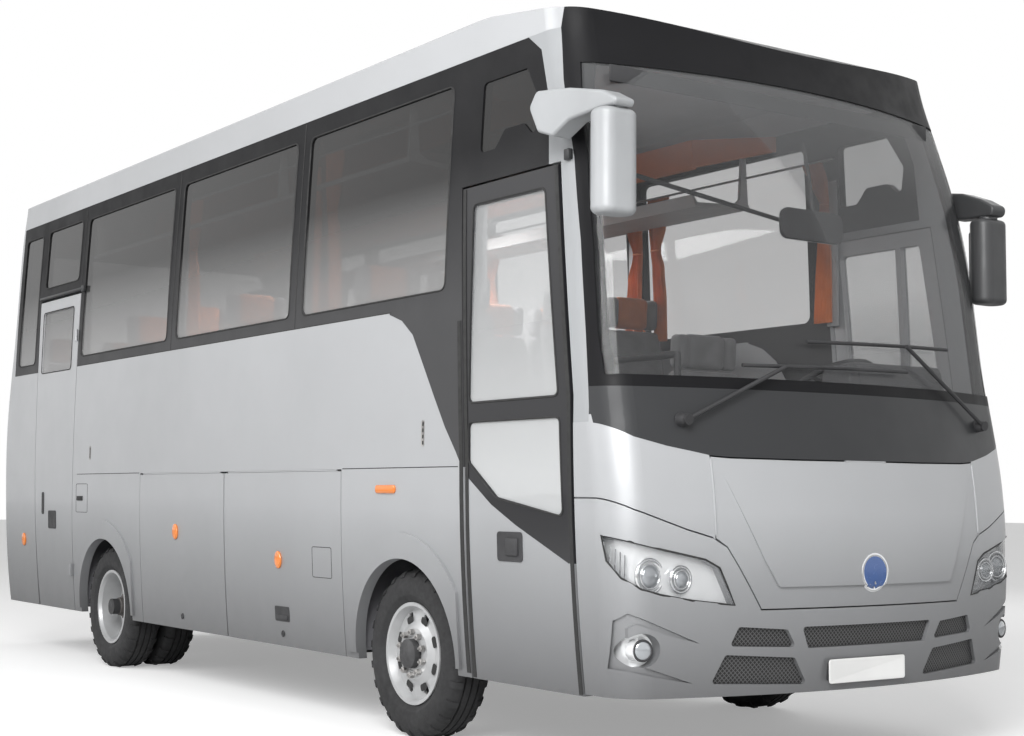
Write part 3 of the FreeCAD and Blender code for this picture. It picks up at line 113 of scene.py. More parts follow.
def span(tree, source, low, high, from_low=0.0, from_high=1.0):
    node = tree.nodes.new("ShaderNodeMapRange")
    for key, value in (("From Min", from_low), ("From Max", from_high), ("To Min", low), ("To Max", high)):
        node.inputs[key].default_value = value
    link(source, node.inputs["Value"])
    return node.outputs["Result"]


def feed(value, target):
    """Gives an input another socket's value, a number or a colour."""
    if isinstance(value, float):
        target.default_value = value
    elif isinstance(value, tuple):
        target.default_value = (*value, 1.0)
    else:
        link(value, target)


def calc(tree, operation, first, second):
    """A Math node; its second side is a socket or a number."""
    node = tree.nodes.new("ShaderNodeMath")
    node.operation = operation
    link(first, node.inputs[0])
    feed(second, node.inputs[1])
    return node.outputs[0]


def mixed(tree, share, first, second):
    """Two colours mixed; the second is a socket or a plain colour."""
    node = tree.nodes.new("ShaderNodeMixRGB")
    link(share, node.inputs["Fac"])
    link(first, node.inputs["Color1"])
    feed(second, node.inputs["Color2"])
    return node.outputs["Color"]


def axes(tree, source):
    """The X, Y and Z of a vector."""
    split = tree.nodes.new("ShaderNodeSeparateXYZ")
    link(source, split.inputs[0])
    return split.outputs


def shade(colour, k):
    return (colour[0] * k, colour[1] * k, colour[2] * k, 1.0)


def patchy(tree, source, colour, low, high):
    """A colour that goes from darker to lighter along a pattern's middle part."""
    return ramp(tree, source, [(0.3, shade(colour, low)), (0.7, shade(colour, high))])


def bump(tree, shader, height, strength, distance):
    node = tree.nodes.new("ShaderNodeBump")
    node.inputs["Strength"].default_value = strength
    node.inputs["Distance"].default_value = distance
    link(height, node.inputs["Height"])
    link(node.outputs["Normal"], shader.inputs["Normal"])


def plain(shader, **values):
    """Sets the shader's own sockets, underscores standing for spaces."""
    for key, value in values.items():
        shader.inputs[key.replace("_", " ")].default_value = value


def surface(name, colour, metallic, roughness, coat=0.0, patch=1.5, grain=400.0, depth=0.0002,
            vary=0.12, strength=0.15, rough_vary=0.08, bottom_tone=None, gloss=0.5):
    """Solid finish: large soft variation in colour and sheen, and a fine grain as bump."""
    mat, tree, shader, coords = new_material(name)
    tone = patchy(tree, noise(tree, coords, patch), colour, 1 - vary, 1 + vary)
    # An optional second colour towards the bottom: painted shade on the silver paint, a lighter tone on the
    # band.
    if bottom_tone:
        tone = low_tone(tree, coords, tone, *bottom_tone)
    link(tone, shader.inputs["Base Color"])
    fine = noise(tree, coords, patch * 7)
    link(span(tree, fine, roughness - rough_vary, roughness + rough_vary, 0.3, 0.7),
                   shader.inputs["Roughness"])
    plain(shader, Metallic=metallic, Specular_IOR_Level=gloss, Coat_Weight=coat, Coat_Roughness=0.06)
    bump(tree, shader, noise(tree, coords, grain, 2.0), strength, depth)
    return mat


def low_tone(tree, coords, tone, colour, top, low):
    """A second colour at the bottom that has faded out at the top height: a painted shade that darkens the
    lower silver and door paint, and a lighter tone at the band's foot.
    """
    fade = span(tree, axes(tree, coords.outputs["Object"])["Z"], 1.0, 0.0, low, top)
    return mixed(tree, fade, tone, colour)


def glazing(name, colour, low_alpha, high_alpha, z_low=0.0, z_high=1.0, edge=0.85, roughness=0.03):
    """Glass: clear face on, stronger reflection at a slant, with a coloured layer whose strength changes with
    height: a tint on most panes, a painted reflection on the door panes.
    """
    mat, tree, shader, coords = new_material(name)
    plain(shader, Base_Color=(*colour, 1.0), Metallic=0.0, Specular_IOR_Level=0.8)
    smear = noise(tree, coords, 2.5)
    link(span(tree, smear, roughness * 0.5, roughness * 1.8), shader.inputs["Roughness"])
    tint = span(tree, axes(tree, coords.outputs["Object"])["Z"], low_alpha, high_alpha, z_low, z_high)
    slant = tree.nodes.new("ShaderNodeLayerWeight")
    slant.inputs["Blend"].default_value = 0.25
    most = calc(tree, "MAXIMUM", tint, span(tree, slant.outputs["Fresnel"], 0.0, edge))
    link(most, shader.inputs["Alpha"])
    return mat


def one_way(name, tones, low_alpha, high_alpha, z_low, z_high, inside):
    """Tinted pane: its tint deepens upwards seen from outside, and stays light seen from inside."""
    mat = glazing(name, (0.3, 0.3, 0.3), low_alpha, high_alpha, z_low, z_high)
    tree = mat.node_tree
    shader = tree.nodes["Principled BSDF"]
    plain(shader, Specular_IOR_Level=0.4)
    height = axes(tree, tree.nodes["Texture Coordinate"].outputs["Object"])["Z"]
    film = span(tree, height, 0.0, 1.0, z_low, z_high)
    low, high = [shade((1, 1, 1), tone) for tone in tones]
    link(ramp(tree, film, [(0.0, low), (1.0, high)]), shader.inputs["Base Color"])
    tint = shader.inputs["Alpha"].links[0].from_socket
    place = tree.nodes.new("ShaderNodeNewGeometry")
    outward = tree.nodes.new("ShaderNodeVectorMath")
    outward.operation = "MULTIPLY"
    link(place.outputs["Normal"], outward.inputs[0])
    link(place.outputs["Position"], outward.inputs[1])
    away = calc(tree, "GREATER_THAN", axes(tree, outward.outputs[0])["X"], 0.3)
    front = calc(tree, "SUBTRACT", away, place.outputs["Backfacing"])
    front.node.use_clamp = True
    mix = tree.nodes.new("ShaderNodeMix")
    mix.inputs[2].default_value = inside
    link(front, mix.inputs[0])
    link(tint, mix.inputs[3])
    link(mix.outputs[0], shader.inputs["Alpha"])
    return mat


def strands(name, hole, strand, scale):
    """Woven grille: light strands between dark diamonds, which are painted shade standing for the holes."""
    mat, tree, shader, coords = new_material(name)
    turn = tree.nodes.new("ShaderNodeMapping")
    turn.inputs["Rotation"].default_value = (0, math.radians(45), 0)
    link(coords.outputs["Object"], turn.inputs["Vector"])
    across = axes(tree, turn.outputs["Vector"])
    waves = [calc(tree, "PINGPONG", across[axis], 0.5 / scale) for axis in ("X", "Z")]
    least = calc(tree, "MINIMUM", *waves)
    level = span(tree, least, 1.0, 0.0, 0.09 / scale, 0.14 / scale)
    link(ramp(tree, level, [(0.0, (*hole, 1)), (1.0, (*strand, 1))]), shader.inputs["Base Color"])
    plain(shader, Roughness=0.5)
    bump(tree, shader, level, 0.5, 0.001)
    return mat


def mirror_shell(name, near, far):
    """Painted shell on the door side; on the other side a dark colour is painted in as shade."""
    mat = surface(name, near, 0.1, 0.5, 0.1)
    tree = mat.node_tree
    colour = tree.nodes["Principled BSDF"].inputs["Base Color"]
    across = axes(tree, tree.nodes["Texture Coordinate"].outputs["Object"])["X"]
    # Painted shade: where X is above 0, on the left mirror, the colour is made dark.
    side = calc(tree, "GREATER_THAN", across, 0.0)
    link(mixed(tree, side, colour.links[0].from_socket, far), colour)
    return mat


DOOR_SPLIT = [(-1.265, 0.844), (-0.902, 0.991), (-0.726, 1.074), (-0.518, 1.209)]


def two_tone(name, upper, lower):
    """Door paint: black above the side's rising line and silver under it."""
    mat, tree, shader, coords = new_material(name)
    place = axes(tree, coords.outputs["Object"])
    y0, y1 = DOOR_SPLIT[0][0], DOOR_SPLIT[-1][0]
    along = span(tree, place["Y"], 0.0, 1.0, rowy(y0), rowy(y1))
    edge = ramp(tree, along, [((y - y0) / (y1 - y0), (z / 2, z / 2, z / 2, 1)) for y, z in DOOR_SPLIT])
    above = calc(tree, "GREATER_THAN", calc(tree, "MULTIPLY", place["Z"], 0.5), edge)
    broad = noise(tree, coords, 1.2)
    tone = mixed(tree, above, patchy(tree, broad, lower, 0.95, 1.05), patchy(tree, broad, upper, 0.85, 1.15))
    # The lower part of the door is darkened as painted shade.
    link(low_tone(tree, coords, tone, *LOWER_PAINTED_SHADE), shader.inputs["Base Color"])
    link(span(tree, above, 0.3, 0.0), shader.inputs["Metallic"])
    plain(shader, Roughness=0.4, Coat_Weight=0.2, Specular_IOR_Level=0.3)
    bump(tree, shader, noise(tree, coords, 800.0, 2.0), 0.06, 0.0001)
    return mat


def cloth(name, colour, scale=260.0):
    """Woven cloth: crossed threads as bump, with soft patches of wear."""
    mat, tree, shader, coords = new_material(name)
    link(patchy(tree, noise(tree, coords, 9.0), colour, 0.8, 1.15), shader.inputs["Base Color"])
    plain(shader, Roughness=0.85, Sheen_Weight=0.3)
    heights = []
    for axis in ("X", "Z"):
        wave = texture(tree, coords, "ShaderNodeTexWave", Scale=scale)
        wave.bands_direction = axis
        heights.append(wave.outputs["Fac"])
    bump(tree, shader, calc(tree, "ADD", *heights), 0.25, 0.0006)
    return mat


def lit(name, colour):
    """Lamp lens with fine ribs."""
    mat, tree, shader, coords = new_material(name)
    ribs = texture(tree, coords, "ShaderNodeTexWave", Scale=60.0).outputs["Fac"]
    tone = ramp(tree, ribs, [(0.0, shade(colour, 0.8)), (1.0, shade(colour, 1.1))])
    link(tone, shader.inputs["Base Color"])
    plain(shader, Roughness=0.12, Coat_Weight=0.8)
    bump(tree, shader, ribs, 0.3, 0.001)
    return mat


SILVER = (0.42, 0.428, 0.44)
# Painted shade: a darker colour, full at 0.1 m and faded out at 1.05 m, darkens the lower silver and door
# paint.
LOWER_PAINTED_SHADE = ((0.06, 0.06, 0.062), 1.05, 0.1)
BAND_FADE = ((0.06, 0.06, 0.062), 2.65, 1.95)
MATS = {}

# Each row: key, name, colour, metallic, roughness, coat, patch scale, grain scale and depth, and then where
# they differ from the usual: colour variation, grain strength, roughness variation, lower tone and gloss.
SURFACES = (
    ("silver", "silver_paint", SILVER, 0.3, 0.4, 0.25, 0.6, 900.0, 0.0001, 0.05, 0.06, 0.05, LOWER_PAINTED_SHADE),
    ("band", "band_paint", (0.008, 0.008, 0.009), 0.0, 0.5, 0.0, 0.7, 900.0, 0.0001, 0.08, 0.05, 0.06,
     BAND_FADE, 0.12),
    ("light", "light_silver", (0.42, 0.43, 0.44), 0.2, 0.5, 0.1, 0.8, 900.0, 0.0001, 0.04, 0.05),
    ("grey", "grey_paint", (0.03, 0.031, 0.033), 0.1, 0.45, 0.1, 0.7, 900.0, 0.0001, 0.08, 0.05, 0.06,
     None, 0.3),
    ("black", "black_trim", (0.007, 0.007, 0.008), 0.0, 0.45, 0.0, 1.2, 500.0, 0.0002, 0.15, 0.15, 0.08,
     None, 0.14),
    ("matte", "matte_plastic", (0.028, 0.028, 0.03), 0.0, 0.62, 0.0, 3.0, 700.0, 0.0004, 0.2, 0.35),
    ("rubber", "tyre_rubber", (0.018, 0.018, 0.019), 0.0, 0.78, 0.0, 5.0, 260.0, 0.0006, 0.3, 0.4, 0.1),
    ("seal", "seal_rubber", (0.014, 0.014, 0.014), 0.0, 0.7, 0.0, 4.0, 500.0, 0.0003, 0.2),
    ("rim", "wheel_paint", (0.45, 0.455, 0.46), 0.3, 0.36, 0.2, 6.0, 500.0, 0.0002, 0.08, 0.1, 0.08),
    ("chassis", "chassis_paint", (0.03, 0.03, 0.031), 0.1, 0.55, 0.0, 4.0, 220.0, 0.0008, 0.3, 0.3, 0.12),
    ("cast", "bare_casting", (0.13, 0.12, 0.115), 0.6, 0.62, 0.0, 6.0, 180.0, 0.0012, 0.3, 0.5, 0.12),
    ("dark_cast", "dark_casting", (0.06, 0.06, 0.062), 0.3, 0.6, 0.0, 9.0, 220.0, 0.0008, 0.3, 0.4, 0.1),
    ("steel", "worn_steel", (0.42, 0.41, 0.4), 0.9, 0.38, 0.0, 9.0, 500.0, 0.0002, 0.2, 0.2, 0.1),
    ("pipe", "stained_pipe", (0.2, 0.16, 0.13), 0.7, 0.55, 0.0, 8.0, 200.0, 0.0008, 0.35, 0.4, 0.12),
    ("chrome", "bright_reflector", (0.82, 0.83, 0.84), 1.0, 0.12, 0.0, 9.0, 800.0, 0.0001, 0.05, 0.05, 0.04),
    ("floor", "floor_covering", (0.14, 0.14, 0.15), 0.0, 0.6, 0.0, 5.0, 350.0, 0.0006, 0.2, 0.35, 0.1),
    ("dash", "moulded_dash", (0.09, 0.09, 0.095), 0.0, 0.55, 0.0, 4.0, 420.0, 0.0005, 0.15, 0.35),
    ("lining", "light_lining", (0.5, 0.5, 0.5), 0.0, 0.5, 0.0, 2.0, 300.0, 0.0003, 0.08, 0.15),
    ("orange_trim", "orange_trim", (0.62, 0.17, 0.05), 0.0, 0.5, 0.0, 2.0, 300.0, 0.0003, 0.08, 0.15),
    ("pillar", "pillar_paint", (0.34, 0.35, 0.36), 0.1, 0.7, 0.0, 0.8, 900.0, 0.0001, 0.04, 0.05, 0.08,
     None, 0.3),
    ("reflector", "lamp_reflector", (0.85, 0.86, 0.87), 0.35, 0.22, 0.3, 9.0, 300.0, 0.0003, 0.05, 0.2, 0.05),
    ("lens_glass", "projector_glass", (0.42, 0.44, 0.46), 0.6, 0.05, 1.0, 6.0, 500.0, 0.00005, 0.1, 0.03,
     0.02),
    ("blue", "badge_enamel", (0.05, 0.11, 0.3), 0.2, 0.22, 0.8, 9.0, 600.0, 0.00005, 0.1, 0.03),
    ("mirror", "mirror_face", (0.75, 0.76, 0.77), 1.0, 0.06, 0.0, 2.0, 300.0, 0.00002, 0.02, 0.02, 0.02),
    ("plate", "blank_plate", (0.8, 0.8, 0.79), 0.0, 0.4, 0.2, 3.0, 300.0, 0.0002, 0.04, 0.1),
)


def make_materials():
    for key, *values in SURFACES:
        MATS[key] = surface(*values)
    # The first colour is painted shade for the grille's holes.
    MATS["mesh"] = strands("grille_strands", (0.004, 0.004, 0.004), (0.09, 0.09, 0.092), 75.0)
    # The second colour is painted shade for the left mirror.
    MATS["mirror_shell"] = mirror_shell("mirror_shells_shaded_left", (0.35, 0.36, 0.37), (0.05, 0.051, 0.053))
    MATS["window"] = one_way("tinted_glazing", (0.27, 0.010), 0.8, 0.94, 2.0, 2.55, 0.3)
    MATS["shield"] = glazing("clear_glazing", (0.13, 0.133, 0.137), 0.12, 0.5, 2.45, 3.0, 0.5, 0.012)
    # Painted reflection: a pale grey veil over the door panes, densest at the bottom and thinning upwards.
    MATS["door_glass"] = glazing("door_glazing", (0.56, 0.57, 0.575), 0.78, 0.22, 1.2, 2.15, 0.5, 0.012)
    MATS["lens"] = glazing("lamp_cover", (0.3, 0.31, 0.32), 0.07, 0.07, 0.0, 1.0, 0.4, 0.012)
    MATS["door_paint"] = two_tone("door_two_tone", (0.014, 0.014, 0.016), SILVER)
    MATS["amber"] = lit("amber_lens", (0.78, 0.22, 0.03))
    MATS["red"] = lit("red_lens", (0.5, 0.02, 0.015))
    MATS["seat"] = cloth("grey_cloth", (0.24, 0.24, 0.245))
    MATS["seat_orange"] = cloth("orange_cloth", (0.66, 0.19, 0.05))
    MATS["curtain"] = cloth("curtain_cloth", (0.7, 0.2, 0.05), 180.0)


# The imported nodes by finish; a star stands for each side's name.
NODES_BY_FINISH = {
    "silver": "boot_lid corner_panels driver_door front_bumper front_flap rear_bumper rear_door rear_wall "
              "roof_panel side_panels_* locker_front_* locker_rear_*",
    "band": "window_band_*", "light": "roof_hatch roof_unit", "grey": "cowl_panel",
    "black": "windshield_surround",
    "matte": "front_door_arm guard_rails steering_wheel wipers", "rubber": "front_tyre_* rear_tyres_*",
    "rim": "front_rim_* rear_rims_*", "chassis": "chassis_frame front_axle rear_axle fuel_tank luggage_bays",
    "cast": "engine_gearbox knuckle_*", "pipe": "exhaust", "floor": "floor_deck", "dash": "dashboard",
    "lining": "luggage_racks", "mirror_shell": "mirrors", "pillar": "front_pillars", "mesh": "grille_mesh",
    "window": "body_windows rear_door_glass", "shield": "windshield", "lens": "headlamp_covers",
    "door_glass": "driver_door_glass front_door_glass", "door_paint": "front_door", "reflector": "headlamps",
    "red": "tail_lamps", "seat": "seats", "seat_orange": "seat_headrests",
}
FINISH_OF = {name.replace("*", side): key for key, names in NODES_BY_FINISH.items() for name in names.split()
             for side in SIDES}


class CoachLooks(bpy.types.PropertyGroup):
    camera_focal: bpy.props.FloatProperty(
        name="Focal length", description="Lens of the camera on a 36 mm sensor", default=57.6, unit="NONE")
    world_level: bpy.props.FloatProperty(
        name="Ambient level", description="Strength of the soft light from all round", default=0.27)


class COACH_OT_finishes(bpy.types.Operator):
    """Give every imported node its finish"""
    bl_idname = "coach.finishes"
    bl_label = "Finishes"

    def execute(self, context):
        make_materials()
        for name, obj in OBJECTS.items():
            obj.data.materials.clear()
            obj.data.materials.append(MATS[FINISH_OF[name]])
        return {"FINISHED"}

# Modelling helpers

WAYS = {side: Vector((s, 0, 0)) for side, s in SIDES.items()}


def deselect():
    if bpy.context.object and bpy.context.object.mode != "OBJECT":
        bpy.ops.object.mode_set(mode="OBJECT")
    bpy.ops.object.select_all(action="DESELECT")


def only(obj):
    deselect()
    obj.select_set(True)
    bpy.context.view_layer.objects.active = obj


def add(kind, **sizes):
    """A primitive on its own, selected."""
    deselect()
    getattr(bpy.ops.mesh, "primitive_" + kind + "_add")(**sizes)
    return bpy.context.object


def settle(obj):
    only(obj)
    bpy.ops.object.transform_apply(location=True, rotation=True, scale=True)


def edit(obj, test=None):
    """Opens edit mode with every face selected, or those that pass a test of centre and normal."""
    only(obj)
    mesh = obj.data
    bpy.context.tool_settings.mesh_select_mode = (False, False, True)
    for group in (mesh.vertices, mesh.edges, mesh.polygons):
        for item in group:
            item.select = False
    for face in mesh.polygons:
        face.select = test is None or bool(test(face.center, face.normal))
    bpy.ops.object.mode_set(mode="EDIT")


def done():
    bpy.ops.object.mode_set(mode="OBJECT")


def modify(obj, kind, **settings):
    only(obj)
    bpy.ops.object.modifier_add(type=kind)
    modifier = obj.modifiers[-1]
    for key, value in settings.items():
        setattr(modifier, key, value)
    bpy.ops.object.modifier_apply(modifier=modifier.name)


def ready(obj, name, mat, body="root", angle=40.0):
    """Names, shades and paints a piece, and fixes it to its body."""
    settle(obj)
    bpy.ops.object.mode_set(mode="EDIT")
    bpy.ops.mesh.select_all(action="SELECT")
    bpy.ops.mesh.normals_make_consistent(inside=False)
    done()
    bpy.ops.object.shade_smooth_by_angle(angle=math.radians(angle))
    obj.name = obj.data.name = name
    obj.data.materials.clear()
    obj.data.materials.append(MATS[mat])
    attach(obj, body)
    return obj


def join(objs):
    deselect()
    for obj in objs:
        obj.select_set(True)
    bpy.context.view_layer.objects.active = objs[0]
    if len(objs) > 1:
        bpy.ops.object.join()
    return objs[0]


# Where a ray falls into a seam, it is tried again this far aside.
NUDGES = [(0, 0, 0)] + [(x * r, y * r, z * r) for r in (0.006, 0.012, 0.025)
                        for x, y, z in ((0, 0, 1), (0, 0, -1), (1, 0, 0), (-1, 0, 0), (0, 1, 0), (0, -1, 0))]


def touch(start, way, nodes):
    """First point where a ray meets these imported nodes."""
    start, way = Vector(start), Vector(way)
    for nudge in NUDGES:
        met = []
        for name in nodes:
            hit, place, _, _ = OBJECTS[name].ray_cast(start + Vector(nudge), way)
            if hit:
                met.append(place.copy())
        if met:
            return min(met, key=lambda place: (place - start).length) - Vector(nudge)
    raise RuntimeError("nothing met from %s" % (tuple(round(c, 3) for c in start),))


SIDE_NODES = {side: [name % side for name in ("side_panels_%s", "window_band_%s", "locker_front_%s",
                                              "locker_rear_%s")] + more
              for side, more in (
                  ("right", ["front_door", "rear_door", "front_pillars", "rear_wall", "rear_bumper",
                             "corner_panels"]),
                  ("left", ["driver_door", "front_pillars", "rear_wall", "rear_bumper"]))}
FRONT_NODES = ["front_flap", "front_bumper", "corner_panels", "cowl_panel", "windshield_surround",
               "windshield", "front_pillars", "grille_mesh", "headlamp_covers"]
REAR_NODES = ["rear_wall", "rear_bumper", "boot_lid", "tail_lamps", "body_windows"]
# Rays start this far out, beside the vehicle and in front of it or behind it.
FAR_X, FAR_Y = 2.0, 6.0


def on_side(y, z, side="right", lift=0.0, nodes=None):
    way = -WAYS[side]
    return touch((-FAR_X * way.x, rowy(y), z), way, nodes or SIDE_NODES[side]) - way * lift


def on_front(x, z, lift=0.0, nodes=FRONT_NODES):
    return touch((x, -FAR_Y, z), (0, 1, 0), nodes) + Vector((0, -lift, 0))


def on_rear(x, z, lift=0.0):
    return touch((x, FAR_Y, z), (0, -1, 0), REAR_NODES) + Vector((0, lift, 0))


def side_points(points, side, lift=0.0, nodes=None):
    return [on_side(y, z, side, lift, nodes) for y, z in points]


def soften(points, radius, steps=4):
    """A flat outline with its corners rounded."""
    out = []
    for i, corner in enumerate(points):
        c = Vector(corner)
        a, b = Vector(points[i - 1]) - c, Vector(points[(i + 1) % len(points)]) - c
        reach = min(radius, a.length * 0.45, b.length * 0.45)
        a, b = c + a.normalized() * reach, c + b.normalized() * reach
        for k in range(steps + 1):
            t = k / steps
            out.append(tuple(a * (1 - t) ** 2 + c * 2 * t * (1 - t) + b * t * t))
    return out


def divide(points, step, closed=True):
    """An outline with points added so that it follows a curved panel."""
    out = []
    count = len(points)
    for i in range(count if closed else count - 1):
        a, b = Vector(points[i]), Vector(points[(i + 1) % count])
        n = max(1, int((b - a).length / step))
        out += [tuple(a.lerp(b, k / n)) for k in range(n)]
    return out if closed else out + [tuple(points[-1])]


def grow(points, by):
    """An outline pushed away from its middle."""
    middle = sum((Vector(p) for p in points), Vector((0, 0))) / len(points)
    return [tuple(Vector(p) + (Vector(p) - middle).normalized() * by) for p in points]


def circle(count, start=0.0):
    """Even angles all the way round."""
    return [2 * math.pi * (k + start) / count for k in range(count)]


def rect(a0, a1, b0, b1):
    return [(a0, b0), (a1, b0), (a1, b1), (a0, b1)]


def soft_rect(a0, a1, b0, b1, radius, steps=4):
    return soften(rect(a0, a1, b0, b1), radius, steps)


def rod(points, radius, closed=False, sides=2):
    """A round bar or bead along points, drawn as a curve and turned into a mesh."""
    deselect()
    bpy.ops.curve.primitive_bezier_curve_add()
    obj = bpy.context.object
    curve = obj.data
    curve.splines.clear()
    spline = curve.splines.new("POLY")
    spline.points.add(len(points) - 1)
    for item, place in zip(spline.points, points):
        item.co = (*place, 1.0)
    spline.use_cyclic_u = closed
    curve.dimensions = "3D"
    curve.bevel_depth = radius
    curve.bevel_resolution = sides
    curve.use_fill_caps = not closed
    only(obj)
    bpy.ops.object.convert(target="MESH")
    return bpy.context.object


def panel(points, way, deep, edge=0.0, inset=0.0, sink=0.0):
    """A plate: a disc whose rim is put on the outline, drawn out, its face inset and its edges eased."""
    way = Vector(way)
    obj = add("circle", vertices=len(points), radius=1.0, fill_type="NGON")
    for vert, place in zip(obj.data.vertices, points):
        vert.co = place
    edit(obj)
    bpy.ops.mesh.extrude_region_move(TRANSFORM_OT_translate={"value": way * deep})
    if inset:
        bpy.ops.mesh.inset(thickness=inset, depth=0.0)
        bpy.ops.transform.translate(value=-way * sink)
    done()
    if edge:
        modify(obj, "BEVEL", width=edge, segments=2, limit_method="ANGLE")
    return obj


def side_plate(outline, side, *sizes, lift=-0.001, nodes=None):
    """A plate lying on the side."""
    return panel(side_points(outline, side, lift, nodes), WAYS[side], *sizes)


def side_bead(line, side, radius, lift=0.0, nodes=None, closed=True):
    """A thin bead lying on the side or let into it."""
    return rod(side_points(line, side, lift, nodes), radius, closed, 1)


def pane_bead(outline, side, node):
    """Rubber bead round a door's pane."""
    return side_bead(divide(soften(grow(outline, 0.008), 0.03), 0.2), side, 0.004, 0.0, [node])


def turned(profile, centre, axis="X", steps=24):
    """A closed section (distance along the axis, radius) spun round an axis."""
    obj = add("circle", vertices=len(profile), radius=1.0, fill_type="NOTHING")
    index = "XYZ".index(axis)
    out = (index + 1) % 3
    for vert, (along, radius) in zip(obj.data.vertices, profile):
        place = [0.0, 0.0, 0.0]
        place[index], place[out] = along, radius
        vert.co = Vector(place) + Vector(centre)
    only(obj)
    bpy.ops.object.mode_set(mode="EDIT")
    bpy.ops.mesh.select_all(action="SELECT")
    way = [0.0, 0.0, 0.0]
    way[index] = 1.0
    bpy.ops.mesh.spin(steps=steps, angle=2 * math.pi, center=centre, axis=way)
    bpy.ops.mesh.select_all(action="SELECT")
    bpy.ops.mesh.remove_doubles(threshold=0.00002)
    done()
    return obj


def outward(profile, centre, steps, s, place):
    """A section turned about X with its face to the outside, moved to its place on that side."""
    obj = turned(profile, centre, "X", steps)
    obj.scale = (s, 1, 1)
    obj.location = place
    settle(obj)
    return obj


def aim(obj, centre, way):
    """Turns a piece drawn along Y at the centre so that it points along way."""
    turn = Vector((0, -1, 0)).rotation_difference(Vector(way).normalized())
    centre = Vector(centre)
    matrix = Matrix.Translation(centre) @ turn.to_matrix().to_4x4() @ Matrix.Translation(-centre)
    obj.matrix_world = matrix @ obj.matrix_world
    settle(obj)
    return obj


def block(low, high, edge=0.004, segments=2):
    """A bar or box between two corners with eased edges."""
    low, high = Vector(low), Vector(high)
    obj = add("cube", size=1.0, location=(low + high) / 2)
    obj.scale = high - low
    settle(obj)
    modify(obj, "BEVEL", width=edge, segments=segments)
    return obj


def grid(columns, rows):
    """A flat grid, and its vertices row by row."""
    obj = add("grid", x_subdivisions=columns, y_subdivisions=rows, size=1.0)
    return obj, sorted(obj.data.vertices, key=lambda vert: (round(vert.co.y, 5), vert.co.x))


# Body sides: seals, gutters, markers, locks and flaps

PANE_Z = (2.035, 2.965)
BIG_PANES = [(y0, y1, *PANE_Z) for y0, y1 in ((-0.330, 1.030), (1.180, 2.630), (2.770, 4.200))]
REAR_PANE = (5.120, 5.470, *PANE_Z)
LAST_PANE = {"right": (4.330, 4.990, 2.570, 2.975), "left": (4.330, 4.990, *PANE_Z)}
BAND_JOINTS, BAND_FOOT = (1.105, 2.700, 4.265), 1.968
JOINT_HEIGHTS = (1.97, 2.2, 2.4, 2.6, 2.8, 3.0, 3.055)
DOOR_HEAD_HEIGHTS = (2.50, 2.6, 2.8, 3.0, 3.055)
SEAM_Z, SEAMS = 1.237, ((-0.470, 0.560), (3.110, 4.180))
MARKERS = (("rear", 2.555, 0.889, "locker_rear_"), ("front", 1.244, 0.771, "locker_front_"),
           ("tail", 5.230, 0.779, ""))
LOCKS = (("rear", 2.500, 0.399), ("front", 1.229, 0.389))
LOCK_SECTION = [(0.0, 0.0), (0.0, 0.017), (0.004, 0.017), (0.006, 0.014), (0.003, 0.011), (0.003, 0.005),
                (0.006, 0.004), (0.006, 0.0)]
VENTS = ((-0.178, 1.330, 1.450), (3.951, 1.330, 1.420))
DOOR_REAR = [(-0.541, 0.330), (-0.529, 1.270), (-0.455, 2.465)]
DOOR_FRONT = [(-1.320, 0.330), (-1.287, 1.510), (-1.163, 2.465)]
JAMB = [(-0.525, 0.345), (-0.513, 1.270), (-0.475, 1.880)]
DOOR_PANES = [[(-0.546, 2.383), (-1.070, 2.380), (-1.196, 1.519), (-0.555, 1.517)],
              [(-0.558, 1.425), (-1.205, 1.426), (-1.228, 1.032), (-0.773, 1.105), (-0.561, 1.256)]]
REAR_DOOR_PANE = [(4.385, 1.960), (4.960, 1.960), (4.972, 2.385), (4.385, 2.385)]
DRIVER_PANE = [(-0.610, 1.560), (-0.555, 2.360), (-1.085, 2.360), (-1.200, 1.560)]


def pane_seals(side):
    """Rubber bead round each pane, and the joints of the band."""
    nodes = ["window_band_" + side]
    beads = []
    for y0, y1, z0, z1 in BIG_PANES + [REAR_PANE, LAST_PANE[side]]:
        line = divide(soft_rect(y0 - 0.004, y1 + 0.004, z0 - 0.004, z1 + 0.004, 0.045, 5), 0.2)
        beads.append(side_bead(line, side, 0.0045, 0.0, nodes))
    for y in BAND_JOINTS:
        heights = DOOR_HEAD_HEIGHTS if y > 4 and side == "right" else JOINT_HEIGHTS
        beads.append(side_bead([(y, z) for z in heights], side, 0.003, -0.0005, nodes, False))
    line = divide([(0.13, BAND_FOOT), (4.262, BAND_FOOT)], 0.6, False)
    return join(beads + [side_bead(line, side, 0.0028, -0.001, nodes, False)])


def gutter(y0, y1, z0, z1):
    """Drip rail over a right door: a lipped bar with an end block."""
    out, tall = WAYS["right"], Vector((0, 0, 0.022))
    a, b = [on_side(y, z) + out * 0.002 for y, z in ((y0, z0), (y1, z1))]
    bar = panel([a, b, b + tall, a + tall], out, 0.014, 0.003, 0.005, -0.006)
    cap = block(a + Vector((0, -0.02, -0.012)) - out * 0.004, a + Vector((0, 0.018, 0.034)) + out * 0.018,
                0.005)
    return join([bar, cap])


def grip(side, y0, z0, y1, z1, lift, edge):
    """A bar that stands out from the side by its lift."""
    return block(on_side(y0, z0, side), on_side(y1, z1, side, lift), edge)


def handle(name, side, body, outline, sizes, bar, nodes=None):
    """A recessed cup with a bar in it."""
    cup = side_plate(soft_rect(*outline), side, *sizes, nodes=nodes)
    ready(join([cup, grip(side, *bar)]), name, "matte", body)


